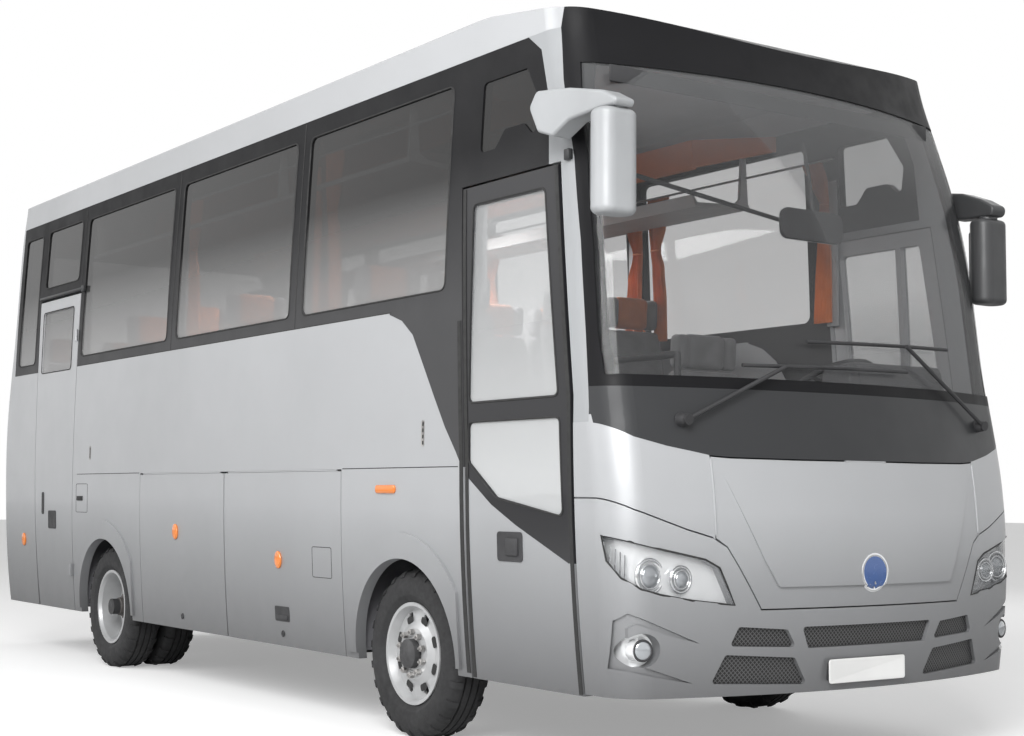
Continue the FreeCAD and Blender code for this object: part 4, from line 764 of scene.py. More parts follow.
class COACH_OT_side_trim(bpy.types.Operator):
    """Window seals, gutters, markers, locks, flaps and slots on both sides"""
    bl_idname = "coach.side_trim"
    bl_label = "Side trim"

    def execute(self, context):
        for side, s in SIDES.items():
            ready(pane_seals(side), "pane_seals_" + side, "seal")
            self.markers(side)
            self.locks(side, s)
            self.outlines(side)
            self.vents(side)
        ready(gutter(-1.235, -0.470, 2.486, 2.479), "front_door_gutter", "grey")
        ready(gutter(4.205, 5.045, 2.482, 2.482), "rear_door_gutter", "grey")
        return {"FINISHED"}

    def markers(self, side):
        for name, y, z, body in MARKERS:
            line = [(y + 0.034 * math.cos(a), z + 0.046 * math.sin(a)) for a in circle(20)]
            lens = side_plate(line, side, 0.011, 0.004, 0.009, -0.003)
            ready(lens, "marker_%s_%s" % (name, side), "amber", body + side if body else "root")
        lens = side_plate(soft_rect(0.055, 0.233, 1.118, 1.158, 0.018), side, 0.010, 0.003, 0.010, -0.002)
        ready(lens, "turn_marker_" + side, "amber")

    def locks(self, side, s):
        for name, y, z in LOCKS:
            lock = outward(LOCK_SECTION, (0, 0, 0), 20, s, on_side(y, z, side))
            ready(lock, "lock_%s_%s" % (name, side), "matte", "locker_%s_%s" % (name, side))
        handle("locker_handle_" + side, side, "locker_front_" + side, (1.148, 1.307, 0.452, 0.530, 0.012),
               (0.004, 0.0012, 0.008, 0.0015), (1.165, 0.462, 1.290, 0.486, 0.006, 0.002))

    def outlines(self, side):
        seams = []
        for y0, y1 in SEAMS:
            line = [(y0 + (y1 - y0) * k / 12, SEAM_Z) for k in range(13)]
            seams.append(side_bead(line, side, 0.0024, -0.0008, closed=False))
        ready(join(seams), "waist_seam_" + side, "seal")
        flap, filler = [side_bead(divide(soft_rect(*outline), 0.05), side, 0.0022, -0.0008) for outline in
                        ((0.678, 0.876, 0.698, 0.849, 0.012), (3.985, 4.190, 0.985, 1.172, 0.014))]
        ready(flap, "flap_seam_" + side, "seal", "locker_front_" + side)
        pull = grip(side, 4.070, 1.062, 4.165, 1.092, 0.007, 0.002)
        ready(join([filler, pull]), "filler_flap_" + side, "seal")

    def vents(self, side):
        slots, holes = [], []
        for y, z0, z1 in VENTS:
            line = soft_rect(y - 0.013, y + 0.013, z0, z1, 0.012)
            slots.append(side_plate(line, side, 0.0025, 0.001, 0.004, 0.0018, lift=-0.0005))
            for k in range(4):
                z = z0 + 0.018 + k * (z1 - z0 - 0.036) / 3
                line = soft_rect(y - 0.005, y + 0.005, z - 0.009, z + 0.009, 0.004, 2)
                # Painted shade: each hole is a thin dark plate standing for the opening.
                holes.append(side_plate(line, side, 0.0006, 0.0002, lift=0.0008))
        ready(join(slots), "vent_slots_" + side, "steel")
        ready(join(holes), "vent_holes_" + side, "seal")


class COACH_OT_door_trim(bpy.types.Operator):
    """Rubber edges, pane seals and handles of the doors"""
    bl_idname = "coach.door_trim"
    bl_label = "Door trim"

    def execute(self, context):
        door = ["front_door"]
        edges = [self.strip(divide(line, 0.15, False), -way * 0.003, -way * 0.026, door)
                 for line, way in ((DOOR_REAR, 1), (DOOR_FRONT, -1))]
        ready(join(edges), "front_door_edges", "seal", "front_door")
        ready(self.strip(divide(JAMB, 0.15, False), 0.0, 0.028, None), "front_jamb_rubber", "seal")
        beads = [pane_bead(pane, "right", "front_door") for pane in DOOR_PANES]
        ready(join(beads), "front_door_pane_seals", "seal", "front_door")
        handle("front_door_handle", "right", "front_door", (-0.954, -0.773, 0.837, 0.961, 0.018),
               (0.006, 0.0015, 0.010, 0.002), (-0.925, 0.862, -0.840, 0.935, 0.009, 0.004), door)
        pull = soft_rect(4.815, 4.855, 0.963, 1.117, 0.02, 5)
        cup = soft_rect(4.575, 4.725, 0.866, 0.990, 0.015)
        plates = [side_plate(pull, "right", 0.006, 0.0015, 0.007, 0.002),
                  side_plate(cup, "right", 0.005, 0.0015, 0.010, 0.002)]
        ready(join(plates), "rear_door_handle", "matte", "rear_door")
        ready(pane_bead(REAR_DOOR_PANE, "right", "rear_door"), "rear_door_pane_seal", "seal", "rear_door")
        ready(pane_bead(DRIVER_PANE, "left", "driver_door"), "driver_pane_seal", "seal", "driver_door")
        handle("driver_door_handle", "left", "driver_door", (-0.760, -0.620, 1.150, 1.230, 0.016),
               (0.004, 0.0015, 0.010, 0.003), (-0.745, 1.172, -0.640, 1.208, 0.008, 0.004),
               ["driver_door", "driver_door_glass"])
        return {"FINISHED"}

    def strip(self, line, near, far, nodes):
        """Flat rubber strip on the right side between two shifts of a line."""
        edges = [side_points([(y + shift, z) for y, z in line], "right", 0.0, nodes) for shift in (near, far)]
        obj, verts = grid(1, len(line) - 1)
        for vert, place in zip(verts, [place for pair in zip(*edges) for place in pair]):
            vert.co = place
        edit(obj)
        bpy.ops.mesh.extrude_region_move(TRANSFORM_OT_translate={"value": (-0.003, 0, 0)})
        done()
        return obj


# Front: lamps, badge, plate and wipers


def dome(radius, rise, thick, centre, steps=28):
    """A lens drawn along Y with its bulge to the front."""
    section = [(-thick, 0.0), (-thick, radius), (0.0, radius)]
    section += [(rise * math.sin(a), radius * math.cos(a)) for a in (0.3, 0.6, 0.9, 1.2)] + [(rise, 0.0)]
    return turned([(-a, r) for a, r in section], centre, "Y", steps)


def ring(radius, tube, centre, steps=32):
    """A rounded ring drawn along Y."""
    section = [(tube * math.cos(a), radius + tube * math.sin(a)) for a in circle(10)]
    return turned(section, centre, "Y", steps)


# Each lamp: place across, height and radius.
HEAD_LAMPS = ((1.030, 0.803, 0.066), (0.905, 0.790, 0.050))
FOG_LAMP, FOG_Y = (1.062, 0.521, 0.037), -1.586
TAIL_LAMPS = ((1.440, "red"), (1.230, "amber"), (1.020, "plate"))
TAIL_X, TAIL_RADIUS, TAIL_RISE = 0.975, 0.078, 0.0105
INNER_RING = 0.72
LAMP_OUTLINE = [(1.178, 0.960), (1.118, 0.938), (1.004, 0.908), (0.826, 0.868), (0.767, 0.836),
                (0.700, 0.690), (0.882, 0.711), (1.006, 0.734), (1.083, 0.756), (1.141, 0.798),
                (1.170, 0.863)]


class COACH_OT_lamps(bpy.types.Operator):
    """Projectors, rings and ribs behind the covers, fog lamps and tail lamps"""
    bl_idname = "coach.lamps"
    bl_label = "Lamps"

    def execute(self, context):
        for side, s in SIDES.items():
            self.headlamp(side, s)
            self.fog(side, s)
            self.tail(side, s)
        return {"FINISHED"}

    def headlamp(self, side, s):
        rings, lenses = [], []
        for x, z, radius in HEAD_LAMPS:
            at = on_front(s * x, z, -0.030)
            rings += [ring(radius, 0.007, at), ring(radius * INNER_RING, 0.004, at + Vector((0, -0.004, 0)))]
            lenses.append(dome(radius * 0.66, 0.016, 0.004, at))
        ready(join(rings), "lamp_rings_" + side, "chrome")
        ready(join(lenses), "lamp_lenses_" + side, "lens_glass")
        ribs = []
        for k in range(5):
            x, z = 1.118 + 0.012 * k, 0.850 + 0.012 * k
            ribs.append(rod([on_front(s * x, z - 0.055, -0.024), on_front(s * x, z + 0.035, -0.024)], 0.0035))
        ready(join(ribs), "lamp_ribs_" + side, "chrome")
        line = [on_front(s * x, z) for x, z in divide(LAMP_OUTLINE, 0.06)]
        ready(rod(line, 0.004, True, 1), "lamp_seal_" + side, "seal")

    def fog(self, side, s):
        x, z, radius = FOG_LAMP
        at = Vector((s * x, rowy(FOG_Y), z))
        for name, piece, mat in (("rim", ring(radius + 0.001, 0.006, at, 28), "matte"),
                                 ("ring", ring(radius * INNER_RING, 0.006, at, 28), "chrome"),
                                 ("lens", dome(radius, 0.012, 0.006, at), "lens_glass")):
            ready(aim(piece, at, (s * 0.25, -1, 0)), "fog_%s_%s" % (name, side), mat)

    def tail(self, side, s):
        for k, (z, mat) in enumerate(TAIL_LAMPS):
            at = on_rear(s * TAIL_X, z, 0.001)
            at.y = min(at.y, CAD_BOX[1][1] - TAIL_RISE)
            lens = dome(TAIL_RADIUS, 0.010, 0.004, (0, 0, 0), 32)
            lens.rotation_euler = (0, 0, math.pi)
            lens.location = at
            ready(lens, "tail_lens_%s_%d" % (side, k), mat)
            ready(ring(TAIL_RADIUS + 0.004, 0.005, at), "tail_rim_%s_%d" % (side, k), "chrome")


BADGE_Z, BADGE_MOST = 0.806, 0.0006
# Height above the skin and radius of each ring of the badge's two parts.
BADGE_RIM = [(0.0003, 0.080), (0.0009, 0.078), (0.0009, 0.070), (0.0003, 0.068)]
BADGE_FACE = [(0.0005, 0.067), (0.0008, 0.055), (0.0008, 0.035), (0.0008, 0.015)]
WIPERS = (("right", ((-0.600, 1.640), (0.330, 1.655)), (-0.135, 1.648)),
          ("left", ((-0.269, 1.752), (0.670, 1.775)), (0.200, 1.764)))
WIPER_PIVOTS = (("right", -0.883, 1.413), ("left", 0.900, 1.440))
WIPER_CAP = [(0.004, 0.0), (0.004, 0.030), (-0.012, 0.026), (-0.034, 0.024), (-0.042, 0.018), (-0.044, 0.0)]


class COACH_OT_front_trim(bpy.types.Operator):
    """Badge, blank plate, the flap's side seams, wiper bridges and caps"""
    bl_idname = "coach.front_trim"
    bl_label = "Front trim"

    def execute(self, context):
        self.badge("badge_rim", "chrome", BADGE_RIM)
        self.badge("badge_face", "blue", BADGE_FACE)
        y = on_front(0.0, 0.412).y
        line = [(x, y - 0.012, z) for x, z in soft_rect(-0.250, 0.195, 0.366, 0.462, 0.012)]
        ready(panel(line, (0, -1, 0), 0.004, 0.001, 0.010, 0.0012), "number_plate", "plate")
        line = [(x, y + 0.03, z) for x, z in soft_rect(-0.240, 0.185, 0.376, 0.452, 0.010)]
        ready(panel(line, (0, -1, 0), 0.043, 0.002), "plate_holder", "matte")
        self.seams()
        self.wipers()
        return {"FINISHED"}

    def badge(self, name, finish, proud):
        """Thin plate laid on the flap: every ring of its section keeps its height above the skin."""
        face = [(-high, radius) for high, radius in proud]
        section = [(0.006, 0.0), (0.006, proud[0][1])] + face + [(-proud[-1][0], 0.0)]
        obj = turned(section, (0.0, 0.0, BADGE_Z), "Y", 40)
        for vert in obj.data.vertices:
            skin = min(on_front(vert.co.x, vert.co.z + d, 0.0, ["front_flap"]).y
                       for d in (-0.014, -0.007, 0.0, 0.007))
            vert.co.y = max(vert.co.y + skin, CAD_BOX[0][1] - BADGE_MOST)
        ready(obj, name, finish, "front_flap")

    def seams(self):
        """Body-coloured beads over the flap's straight sides."""
        for side, s in SIDES.items():
            line = [on_front(s * 0.7735, 1.262 - 0.03 * k, 0.0, ["front_flap", "corner_panels"])
                    for k in range(11)]
            line = [Vector((s * 0.7795, place.y, place.z)) for place in line]
            ready(rod(line, 0.0045), "flap_side_seal_" + side, "silver", "front_flap")

    def wipers(self):
        """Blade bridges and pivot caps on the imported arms."""
        rise = Vector((0, 0, 0.004))
        for name, ends, middle in WIPERS:
            ends = [on_front(x, z, 0.034) for x, z in ends]
            m = on_front(*middle, 0.046)
            quarters = [end.lerp(m, 0.5) + rise for end in ends]
            parts = [rod([quarters[0], m, quarters[1]], 0.005)]
            parts += [rod([end.lerp(m, 0.18), quarter, end.lerp(m, 0.82)], 0.0035)
                      for end, quarter in zip(ends, quarters)]
            ready(join(parts), "wiper_bridge_" + name, "matte")
        for name, x, z in WIPER_PIVOTS:
            ready(turned(WIPER_CAP, on_front(x, z), "Y"), "wiper_cap_" + name, "matte")


# Wheels and tyres

HALF_SECTION = [(-0.0755, 0.2225), (-0.0795, 0.236), (-0.1005, 0.262), (-0.1040, 0.268), (-0.1045, 0.274),
                (-0.1075, 0.300), (-0.1045, 0.328), (-0.0965, 0.350), (-0.0900, 0.362), (-0.0780, 0.3745),
                (-0.0480, 0.3825), (-0.0430, 0.3825), (-0.0410, 0.3725), (-0.0330, 0.3725),
                (-0.0310, 0.3830), (-0.0050, 0.3833), (-0.0035, 0.3730)]
TYRE_SECTION = HALF_SECTION + [(-along, radius) for along, radius in reversed(HALF_SECTION)]
TYRE_STEPS, NOTCH_EVERY, NOTCH_DEPTH = 72, 3, 0.007
OUTER_TYRE_X, INNER_TYRE_X = 1.020, 0.775
NUTS = 10
NUT_SECTION = [(-0.004, 0.0), (-0.004, 0.0155), (0.016, 0.0155), (0.018, 0.009), (0.018, 0.007),
               (0.026, 0.006), (0.026, 0.0)]
FRONT_CAP = [(-0.03, 0.0), (-0.03, 0.068), (0.002, 0.067), (0.005, 0.062), (0.005, 0.030), (0.008, 0.026),
             (0.008, 0.0)]
REAR_CAP = [(-0.01, 0.0), (-0.01, 0.086), (0.010, 0.084), (0.014, 0.060), (0.050, 0.056), (0.058, 0.046),
            (0.058, 0.0)]


def make_tyre(x, y):
    """Tyre with sidewall ring, grooves and shoulder notches."""
    centre = Vector((x, y, HUB_Z))
    obj = turned(TYRE_SECTION, centre, "X", TYRE_STEPS)

    def notch(place, normal):
        off = place - centre
        angle = (math.atan2(off.z, off.y) + math.pi) / (2 * math.pi) * TYRE_STEPS
        on_shoulder = math.hypot(off.y, off.z) > 0.352 and 0.055 < abs(off.x) < 0.095
        return on_shoulder and int(angle + 0.01) % NOTCH_EVERY == 0

    edit(obj, notch)
    bpy.ops.mesh.extrude_region_move()
    bpy.ops.transform.shrink_fatten(value=-NOTCH_DEPTH)
    done()
    return obj


class COACH_OT_wheels(bpy.types.Operator):
    """Treaded tyres, wheel nuts, hub caps and hand holes"""
    bl_idname = "coach.wheels"
    bl_label = "Wheels"

    def execute(self, context):
        for side, s in reversed(SIDES.items()):
            self.tyres([make_tyre(s * OUTER_TYRE_X, FRONT_AXLE_Y)],
                       "tyre_front_" + side, "front_tyre_" + side, "front_wheel_" + side)
            self.tyres([make_tyre(s * x, REAR_AXLE_Y) for x in (OUTER_TYRE_X, INNER_TYRE_X)],
                       "tyres_rear_" + side, "rear_tyres_" + side, "rear_wheels_" + side)
            self.nuts("front", side, s * 1.110, FRONT_AXLE_Y, 0.098, "front_wheel_" + side)
            self.nuts("rear", side, s * 0.952, REAR_AXLE_Y, 0.118, "rear_wheels_" + side)
            face = touch((s * FAR_X, FRONT_AXLE_Y, HUB_Z), (-s, 0, 0),
                         ["front_rim_" + side, "knuckle_" + side])
            cap = outward(FRONT_CAP, (0, FRONT_AXLE_Y, HUB_Z), 28, s, (face.x, 0, 0))
            ready(cap, "front_hub_cap_" + side, "dark_cast", "front_wheel_" + side)
            self.hand_holes(side, s)
            cap = outward(REAR_CAP, (0, REAR_AXLE_Y, HUB_Z), 28, s, (s * 1.010, 0, 0))
            ready(cap, "rear_hub_cap_" + side, "cast", "rear_wheels_" + side)
        return {"FINISHED"}

    def tyres(self, tyres, name, node, body):
        """Tyres of one body, flat where they stand on the road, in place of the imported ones."""
        obj = ready(join(tyres), name, "rubber", body)
        for vert in obj.data.vertices:
            vert.co.z = max(vert.co.z, 0.0)
        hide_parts(node)

    def nuts(self, name, side, x, y, radius, body):
        nuts = []
        for a in circle(NUTS, 0.5):
            centre = (0, y + radius * math.cos(a), HUB_Z + radius * math.sin(a))
            nuts.append(outward(NUT_SECTION, centre, 6, SIDES[side], (x, 0, 0)))
        ready(join(nuts), "%s_wheel_nuts_%s" % (name, side), "steel", body)

    def hand_holes(self, side, s):
        """Dark plates on the front rim's sloping disc, where its openings are: painted shade standing for the
        dark inside of the openings.
        """
        holes = []
        for k in range(8):
            a = math.pi * (2 * k + 1) / 8
            spots = []
            for u, v in soft_rect(-0.026, 0.026, 0.144, 0.176, 0.012, 3):
                y = FRONT_AXLE_Y + v * math.cos(a) - u * math.sin(a)
                z = HUB_Z + v * math.sin(a) + u * math.cos(a)
                place = touch((s * FAR_X, y, z), (-s, 0, 0), ["front_rim_" + side])
                spots.append(Vector((max(abs(place.x), 1.02) * s, y, z)))
            outer = max(abs(spot.x) for spot in spots)
            holes.append(panel([Vector((s * outer, spot.y, spot.z)) for spot in spots], (s, 0, 0), 0.0012))
        ready(join(holes), "front_hand_holes_" + side, "seal", "front_wheel_" + side)


# Seats: cushions, backs, headrests and frames, in metres from the front axle

FLOOR_Z, CAB_Z = 0.950, 0.650
SEAT_W = 0.418
SEAT_SPOTS = [(x, 0.560 + 0.745 * i) for i in range(6) for x in (0.250, 0.684)]
SEAT_SPOTS += [(x, 0.300 + 0.745 * i) for i in range(5) for x in (-0.680, -1.114)]
SEAT_SPOTS += [(x, 5.170) for x in (-1.020, -0.550, -0.080, 0.390)]
DRIVER_SPOT, DRIVER_W = (0.430, -0.330), 0.470
BACK_LEAN, HEAD_LEAN = 9.0, -3.0
BACK_AT, HEAD_AT = (0, 0.277, 0.790), (0, 0.330, 1.224)
# Each leg or foot: half its width, front Y, rear Y, top and eased edge.
SEAT_LEGS = ((0.018, -0.120, -0.085, 0.395, 0.004), (0.018, 0.155, 0.190, 0.395, 0.004),
             (0.020, -0.120, 0.190, 0.012, 0.003))
GRIP_LINE = ((-0.045, 0.372, 1.105), (-0.045, 0.392, 1.140), (-0.060, 0.395, 1.160),
             (-0.110, 0.395, 1.160), (-0.125, 0.392, 1.140), (-0.125, 0.372, 1.105))


def pillow(half, radius, crown, seams=(), cuts=11, valley=0.012):
    """A crowned cushion about the origin, thin along Y, with sewn valleys at some widths."""
    obj = add("cube", size=2.0)
    obj.scale = half
    settle(obj)
    edit(obj)
    bpy.ops.mesh.subdivide(number_cuts=cuts)
    done()
    hx, hy, hz = half
    for vert in obj.data.vertices:
        co = vert.co
        core = Vector([max(-h + radius, min(h - radius, c)) for c, h in zip(co, half)])
        gap = co - core
        if gap.length > radius:
            co = core + gap.normalized() * radius
        u, w = co.x / hx, co.z / hz
        swell = crown * (1 - u * u) * (1 - w * w)
        dip = sum(valley * math.exp(-((co.x - s) / 0.012) ** 2) for s in seams)
        side = 1 if co.y > 0 else -1
        pull = 1 - 0.03 * (1 - w * w)
        vert.co = Vector((co.x * pull, co.y + side * (swell - dip) * min(1.0, abs(co.y) / (hy * 0.6)), co.z))
    return obj


def lean(obj, centre, angle):
    obj.rotation_euler = (math.radians(angle), 0, 0)
    obj.location = centre
    settle(obj)
    return obj


def welt(hx, hz, centre, angle, front):
    """Piping round a pad's front edge."""
    turn = Matrix.Rotation(math.radians(angle), 3, "X")
    line = [turn @ Vector((x, front, z)) + Vector(centre) for x, z in soft_rect(-hx, hx, -hz, hz, 0.05, 5)]
    return rod(line, 0.0035, True, 1)


def seat_set(width):
    """One seat about its own place: its pads, and the headrest's centre and wings."""
    half_w = width / 2 - 0.004
    pads = []
    for high, long, radius, share, at, angle in ((0.052, 0.200, 0.045, 0.6, (0, -0.030, 0.447), 90),
                                                 (0.046, 0.335, 0.040, 0.58, BACK_AT, -BACK_LEAN)):
        seams = (-half_w * share, half_w * share)
        pads.append(lean(pillow((half_w, high, long), radius, 0.012, seams), at, angle))
    pads.append(welt(half_w - 0.012, 0.318, BACK_AT, -BACK_LEAN, -0.034))
    wide = half_w - 0.028
    mid = lean(pillow((wide * 0.66, 0.042, 0.092), 0.034, 0.008, cuts=7), HEAD_AT, -HEAD_LEAN)
    wings = []
    for s in (-1, 1):
        at = (s * wide * 0.82, HEAD_AT[1] - 0.006, HEAD_AT[2] - 0.002)
        wings.append(lean(pillow((wide * 0.18, 0.048, 0.088), 0.028, 0.004, cuts=6), at, -HEAD_LEAN))
    return join(pads), mid, join(wings)


def seat_shell(width):
    """Hard shell behind the back."""
    shell = pillow(((width / 2 - 0.004) * 0.97, 0.012, 0.325), 0.010, 0.006, cuts=5)
    return lean(shell, (0, 0.342, 0.775), -BACK_LEAN)


def seat_frame(width):
    """Back shell on two pairs of legs."""
    parts = [seat_shell(width)]
    for s in (-1, 1):
        x = s * (width / 2 - 0.070)
        for half, y0, y1, top, edge in SEAT_LEGS:
            parts.append(block((x - half, y0, 0.0), (x + half, y1, top), edge, 1))
    return join(parts)


class COACH_OT_seats(bpy.types.Operator):
    """Crowned cushions, backs, winged headrests, shells, legs and handles"""
    bl_idname = "coach.seats"
    bl_label = "Seats"

    def execute(self, context):
        pads, mid, wings = seat_set(SEAT_W)
        handle_line = [(SEAT_W / 2 - 0.004 + x, y, z) for x, y, z in GRIP_LINE]
        made = {}
        for key, model, mat in (("seat_pad", pads, "seat"), ("headrest", mid, "seat_orange"),
                                ("headrest_wings", wings, "seat"),
                                ("seat_frame", seat_frame(SEAT_W), "matte"),
                                ("seat_handle", rod(handle_line, 0.007), "orange_trim")):
            ready(model, key + "_00", mat, "root", 50.0)
            made[key] = self.spread(model, key)
        self.driver(made)
        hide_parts("seats")
        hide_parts("seat_headrests")
        return {"FINISHED"}

    def spread(self, model, key):
        """Copies with their own meshes at every place; the model takes the first."""
        out = [model]
        places = [Vector((x + SEAT_W / 2, rowy(y), FLOOR_Z)) for x, y in SEAT_SPOTS]
        for k, place in enumerate(places[1:], 1):
            twin = model.copy()
            twin.data = model.data.copy()
            bpy.context.scene.collection.objects.link(twin)
            twin.data.transform(Matrix.Translation(place))
            twin.name = twin.data.name = "%s_%02d" % (key, k)
            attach(twin, "root")
            out.append(twin)
        model.data.transform(Matrix.Translation(places[0]))
        return out

    def driver(self, made):
        place = Vector((DRIVER_SPOT[0] + DRIVER_W / 2, rowy(DRIVER_SPOT[1]), CAB_Z))
        pads, mid, wings = seat_set(DRIVER_W)
        base = [block((-0.170, -0.150, 0.301), (0.170, 0.190, 0.340), 0.010),
                block((-0.140, -0.120, 0.335), (0.140, 0.160, 0.390), 0.010)]
        frame_parts = join([seat_shell(DRIVER_W)] + base)
        for key, obj, mat in (("seat_pad", pads, "seat"), ("headrest", mid, "seat"),
                              ("headrest_wings", wings, "seat"), ("seat_frame", frame_parts, "matte")):
            obj.data.transform(Matrix.Translation(place))
            ready(obj, "driver_" + key, mat, "root", 50.0)
            made[key].append(obj)


# Curtains and the cabin

LEFT_WALL_X = 1.085
RAIL_Z, RAIL_ENDS = 2.874, (-0.55, 2.66)
CURTAIN_CUT, PLEATS, CURTAIN_ROWS = 0.340, 6, 26
# Each curtain's rows from the rail down: front Y, rear Y and height.
CURTAINS = {
    "curtain_front": [(-0.470, -0.333, 2.870), (-0.500, -0.395, 2.760), (-0.505, -0.460, 2.640),
                      (-0.520, -0.440, 2.450), (-0.524, -0.420, 2.200), (-0.524, -0.410, 2.020)],
    "curtain_mid": [(0.767, 0.949, 2.870), (0.800, 0.935, 2.700), (0.850, 0.915, 2.560),
                    (0.815, 0.900, 2.450), (0.795, 0.890, 2.250), (0.790, 0.885, 2.020)],
    "curtain_rear": [(1.024, 1.185, 2.820), (1.020, 1.140, 2.700), (1.018, 1.080, 2.557),
                     (1.020, 1.130, 2.400), (1.022, 1.150, 2.200), (1.024, 1.160, 2.020)],
    "curtain_back": [(2.480, 2.640, 2.860), (2.520, 2.640, 2.700), (2.570, 2.640, 2.560),
                     (2.530, 2.640, 2.400), (2.500, 2.640, 2.020)],
}


def hanging(rows, x, columns=48):
    """Gathered cloth along its rows, its pleats deep enough to take up the cut's width."""
    obj, verts = grid(columns, len(rows) - 1)
    leg = CURTAIN_CUT / (4 * PLEATS)
    for r, (a, b, z) in enumerate(rows):
        deep = math.sqrt(leg ** 2 - ((b - a) / (4 * PLEATS)) ** 2)
        for c in range(columns + 1):
            t = c / columns
            wave = math.sin(2 * math.pi * PLEATS * t + 0.35 * math.sin(5 * t + r * 0.25))
            verts[r * (columns + 1) + c].co = (x + deep * wave, rowy(a + (b - a) * t), z)
    modify(obj, "SOLIDIFY", thickness=0.0016, offset=0.0)
    return obj


def between(rows, count):
    """Rows at even steps along a smooth path through a few of them."""
    out = []
    for k in range(count + 1):
        t = k / count * (len(rows) - 1)
        i = min(int(t), len(rows) - 2)
        f = t - i
        ease = f * f * (3 - 2 * f)
        pairs = zip(rows[i], rows[i + 1], (ease, ease, f))
        out.append(tuple(a + (b - a) * share for a, b, share in pairs))
    return out


class COACH_OT_curtains(bpy.types.Operator):
    """Gathered curtains tied back at the window posts, with rails and ties"""
    bl_idname = "coach.curtains"
    bl_label = "Curtains"

    def execute(self, context):
        for side, s in reversed(SIDES.items()):
            for name, rows in CURTAINS.items():
                piece = ready(hanging(between(rows, CURTAIN_ROWS), s * LEFT_WALL_X), "%s_%s" % (name, side),
                              "curtain", "root", 70.0)
                y0, y1, z = min(rows, key=lambda row: row[1] - row[0])
                band = [(s * (LEFT_WALL_X + 0.020 * math.cos(a)),
                         rowy((y0 + y1) / 2 + (y1 - y0) * 0.56 * math.sin(a)), z) for a in circle(20)]
                ready(rod(band, 0.006, True), "%s_tie_%s" % (name, side), "curtain")
            rail = rod([(s * LEFT_WALL_X, rowy(y), RAIL_Z) for y in RAIL_ENDS], 0.007)
            ready(rail, "curtain_rail_" + side, "light")
        return {"FINISHED"}


# The rack edging's section (X, Z) and the outline of its nose (Y, Z), and where it starts and ends.
FASCIA = ((0.700, 2.885), (0.722, 2.880), (0.700, 3.040), (0.682, 3.036))
FASCIA_NOSE = ((-0.515, 2.867), (-0.515, 2.945), (0.057, 3.030), (0.112, 3.040), (0.112, 2.885))
FASCIA_START, FASCIA_END = 0.110, {"left": 5.40, "right": 4.10}
WINDOW_POSTS = ((-0.560, -0.480), (1.060, 1.150), (2.660, 2.745), (4.215, 4.300))
MIRROR_STEM = ((-1.368, 2.375), (-1.350, 2.520), (-1.310, 2.700))
WHEEL_HUB, WHEEL_TILT = (0.600, -0.985, 1.640), math.radians(-30)
BOSS_SECTION = [(-0.006, 0.0), (-0.006, 0.060), (0.018, 0.055), (0.024, 0.040), (0.026, 0.0)]


class COACH_OT_cabin(bpy.types.Operator):
    """Rack edging, window posts, visor, inner mirror and the steering wheel's spokes"""
    bl_idname = "coach.cabin"
    bl_label = "Cabin"

    def execute(self, context):
        for side, s in reversed(SIDES.items()):
            fascia = panel([(s * x, rowy(FASCIA_START), z) for x, z in FASCIA], (0, 1, 0),
                           FASCIA_END[side] - FASCIA_START, 0.004)
            nose = panel([(s * 0.690, rowy(y), z) for y, z in FASCIA_NOSE], (s, 0, 0), 0.018, 0.003)
            ready(join([fascia, nose]), "rack_fascia_" + side, "orange_trim")
            posts = [block((s * 1.098, rowy(y0), 2.000), (s * 1.106, rowy(y1), 2.880), 0.003)
                     for y0, y1 in WINDOW_POSTS]
            ready(join(posts), "window_posts_" + side, "light")
        self.front_end()
        self.controls()
        return {"FINISHED"}

    def front_end(self):
        visor = block((-1.000, rowy(-1.302), 2.815), (0.930, rowy(-1.292), 2.885), 0.004)
        ready(visor, "sun_visor", "matte")
        outline = [Vector((x, rowy(-1.350), z)) + Vector((0, -0.002, 0))
                   for x, z in soft_rect(-0.094, 0.286, 2.243, 2.382, 0.05, 5)]
        back = panel(outline, (0, -1, 0), 0.022, 0.008, 0.016, 0.002)
        stem = rod([(0.096, rowy(y), z) for y, z in MIRROR_STEM], 0.008)
        ready(join([back, stem]), "inner_mirror", "matte")
        ready(panel(outline, (0, 1, 0), 0.003, 0.001, 0.010, -0.001), "inner_mirror_face", "mirror")

    def controls(self):
        hub = Vector((WHEEL_HUB[0], rowy(WHEEL_HUB[1]), WHEEL_HUB[2]))
        turn = Matrix.Rotation(WHEEL_TILT, 3, "X")
        spokes = []
        for a in (-0.35, math.pi + 0.35):
            ends = [hub + turn @ Vector((r * math.cos(a), r * math.sin(a), 0.004)) for r in (0.04, 0.205)]
            spokes.append(rod(ends, 0.012))
        boss = turned(BOSS_SECTION, (0, 0, 0), "Z", 28)
        boss.rotation_euler = (WHEEL_TILT, 0, 0)
        boss.location = hub
        settle(boss)
        ready(join(spokes + [boss]), "wheel_spokes", "matte")


# Mirrors and rear

MIRROR_HEADS = (("right", (-1.240, -1.625, 2.392)), ("left", (1.242, -1.405, 2.245)))


class COACH_OT_mirror_trim(bpy.types.Operator):
    """Reflecting faces and rims of the outside mirrors"""
    bl_idname = "coach.mirror_trim"
    bl_label = "Mirror trim"

    def execute(self, context):
        for side, (x, y, z) in MIRROR_HEADS:
            face = [touch((x + dx, rowy(y) + 0.6, z + dz), (0, -1, 0), ["mirrors"]) + Vector((0, 0.0005, 0))
                    for dx, dz in soft_rect(-0.070, 0.070, -0.160, 0.150, 0.035, 5)]
            ready(panel(face, (0, 1, 0), 0.004, 0.0015, 0.008, -0.001), "mirror_glass_" + side, "mirror")
            rim = rod([place + Vector((0, 0.002, 0)) for place in face], 0.004, True, 1)
            ready(rim, "mirror_rim_" + side, "matte")
        return {"FINISHED"}


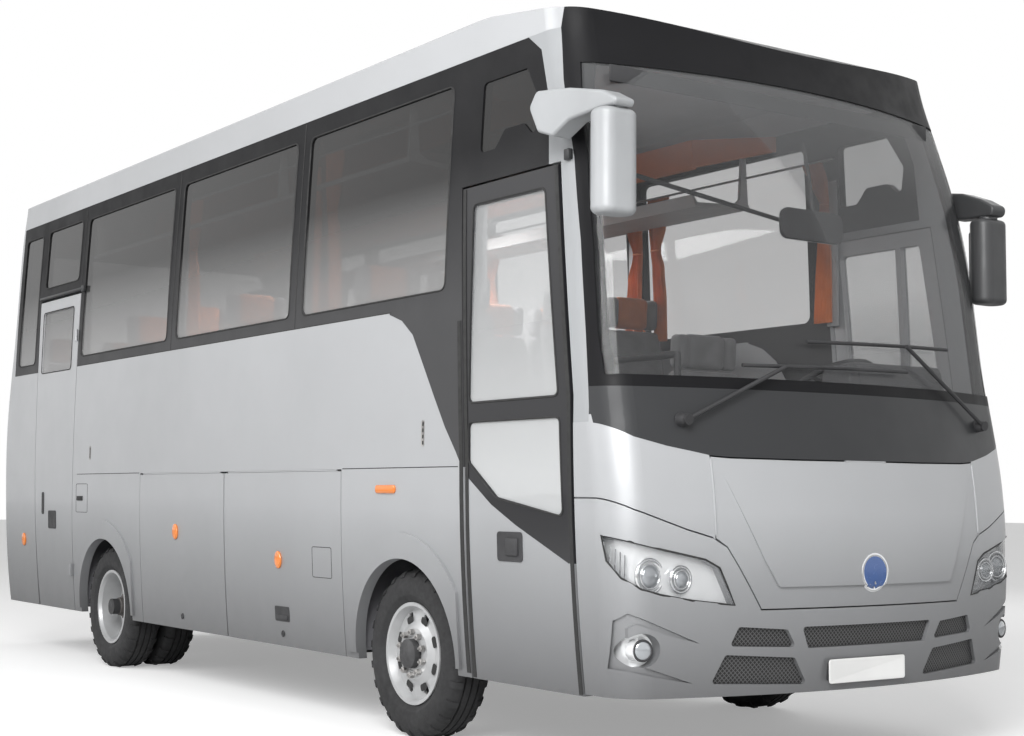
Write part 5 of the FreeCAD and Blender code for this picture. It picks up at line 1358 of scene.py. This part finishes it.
class COACH_OT_rear_trim(bpy.types.Operator):
    """Blank plate and handle at the back"""
    bl_idname = "coach.rear_trim"
    bl_label = "Rear trim"

    def execute(self, context):
        y = on_rear(0.0, 0.690).y
        line = [(x, y + 0.004, z) for x, z in soft_rect(-0.235, 0.235, 0.640, 0.745, 0.012)]
        ready(panel(line[::-1], (0, 1, 0), 0.004, 0.001, 0.010, 0.0012), "rear_plate", "plate")
        ready(block((-0.075, y - 0.01, 0.800), (0.075, y + 0.014, 0.830), 0.004), "boot_handle", "matte")
        return {"FINISHED"}


# Camera fitted to the photo, from the front axle: place, yaw, pitch and roll.
CAMERA_PLACE = (-5.1273, -6.4884, 1.1082)
CAMERA_YAW, CAMERA_PITCH, CAMERA_ROLL = 0.6125, 0.0782, 0.0067
# Each lamp: name, place, size and power. All of them look at the same point.
LIGHTS = (("key", (-7.5, -9.0, 6.5), 6.0, 1350.0), ("side", (-10.0, 3.0, 7.0), 7.0, 480.0),
          ("far", (8.0, 4.0, 7.0), 7.0, 160.0), ("cabin", (0.0, 0.2, 2.75), 1.1, 60.0))
LIT_POINT = (0, 0.1, 1.3)


def camera_matrix():
    y, p, r = CAMERA_YAW, CAMERA_PITCH, CAMERA_ROLL
    forward = Vector((math.sin(y) * math.cos(p), math.cos(y) * math.cos(p), math.sin(p)))
    right = Vector((math.cos(y), -math.sin(y), 0.0))
    up = right.cross(forward)
    across = right * math.cos(r) + up * math.sin(r)
    upward = up * math.cos(r) - right * math.sin(r)
    place = Vector((CAMERA_PLACE[0], rowy(CAMERA_PLACE[1]), CAMERA_PLACE[2]))
    return Matrix([(*row, at) for row, at in zip(zip(across, upward, -forward), place)] + [(0, 0, 0, 1)])


class COACH_OT_stage(bpy.types.Operator):
    """Pale floor, soft studio light and the camera at the photo's angle"""
    bl_idname = "coach.stage"
    bl_label = "Stage"

    def execute(self, context):
        scene = context.scene
        scene.view_settings.view_transform = "Standard"
        bpy.ops.object.select_all(action="DESELECT")
        bpy.ops.object.camera_add(location=(0, 0, 0))
        camera = context.object
        camera.name = "camera"
        camera.matrix_world = camera_matrix()
        camera.data.sensor_width = 36.0
        camera.data.lens = scene.coach_looks.camera_focal
        camera.data.clip_end = 200.0
        scene.camera = camera
        bpy.ops.mesh.primitive_plane_add(size=120.0, location=(0, 0, 0))
        floor = context.object
        floor.name = "studio_floor"
        floor.data.materials.append(self.floor_finish())
        self.world(scene)
        self.lamps()
        return {"FINISHED"}

    def floor_finish(self):
        mat, tree, shader, coords = new_material("studio_floor")
        path = tree.nodes.new("ShaderNodeLightPath")
        tone = patchy(tree, noise(tree, coords, 0.4), (0.8, 0.8, 0.8), 0.975, 1.025)
        link(tone, shader.inputs["Base Color"])
        plain(shader, Roughness=0.9, Emission_Color=(1, 1, 1, 1))
        link(calc(tree, "MULTIPLY", path.outputs["Is Camera Ray"], 0.32),
                       shader.inputs["Emission Strength"])
        return mat

    def world(self, scene):
        world = bpy.data.worlds.new("studio")
        scene.world = world
        world.use_nodes = True
        tree = world.node_tree
        back = tree.nodes["Background"]
        path = tree.nodes.new("ShaderNodeLightPath").outputs
        seen = calc(tree, "MAXIMUM", path["Is Camera Ray"], path["Is Glossy Ray"])
        seen = calc(tree, "MAXIMUM", seen, path["Is Transmission Ray"])
        link(span(tree, seen, scene.coach_looks.world_level, 1.0), back.inputs["Strength"])
        back.inputs["Color"].default_value = (1, 1, 1, 1)

    def lamps(self):
        for name, place, size, power in LIGHTS:
            bpy.ops.object.light_add(type="AREA", location=place)
            lamp = bpy.context.object
            lamp.name = name + "_lamp"
            lamp.data.size = size
            lamp.visible_camera = False
            lamp.data.energy = power
            way = Vector(LIT_POINT) - Vector(place)
            lamp.rotation_euler = way.to_track_quat("-Z", "Y").to_euler()


class COACH_PT_panel(bpy.types.Panel):
    """Lists the coach's dressing steps"""
    bl_idname = "COACH_PT_panel"
    bl_label = "Coach"
    bl_space_type = "VIEW_3D"
    bl_region_type = "UI"
    bl_category = "Coach"

    def draw(self, context):
        looks = context.scene.coach_looks
        self.layout.prop(looks, "camera_focal")
        self.layout.prop(looks, "world_level")
        for cls in OPERATORS:
            self.layout.operator(cls.bl_idname)


OPERATORS = (COACH_OT_finishes, COACH_OT_side_trim, COACH_OT_door_trim, COACH_OT_lamps, COACH_OT_front_trim,
             COACH_OT_wheels, COACH_OT_seats, COACH_OT_curtains, COACH_OT_cabin, COACH_OT_mirror_trim,
             COACH_OT_rear_trim, COACH_OT_stage)


def register():
    bpy.utils.register_class(CoachLooks)
    for cls in OPERATORS:
        bpy.utils.register_class(cls)
    bpy.utils.register_class(COACH_PT_panel)
    bpy.types.Scene.coach_looks = bpy.props.PointerProperty(type=CoachLooks)


def unregister():
    del bpy.types.Scene.coach_looks
    bpy.utils.unregister_class(COACH_PT_panel)
    for cls in reversed(OPERATORS):
        bpy.utils.unregister_class(cls)
    bpy.utils.unregister_class(CoachLooks)


def main():
    register()
    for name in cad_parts:
        OBJECTS[name] = bpy.data.objects[name]
    for cls in OPERATORS:
        steps, name = cls.bl_idname.split(".")
        getattr(getattr(bpy.ops, steps), name)()


if __name__ == "__main__":
    main()
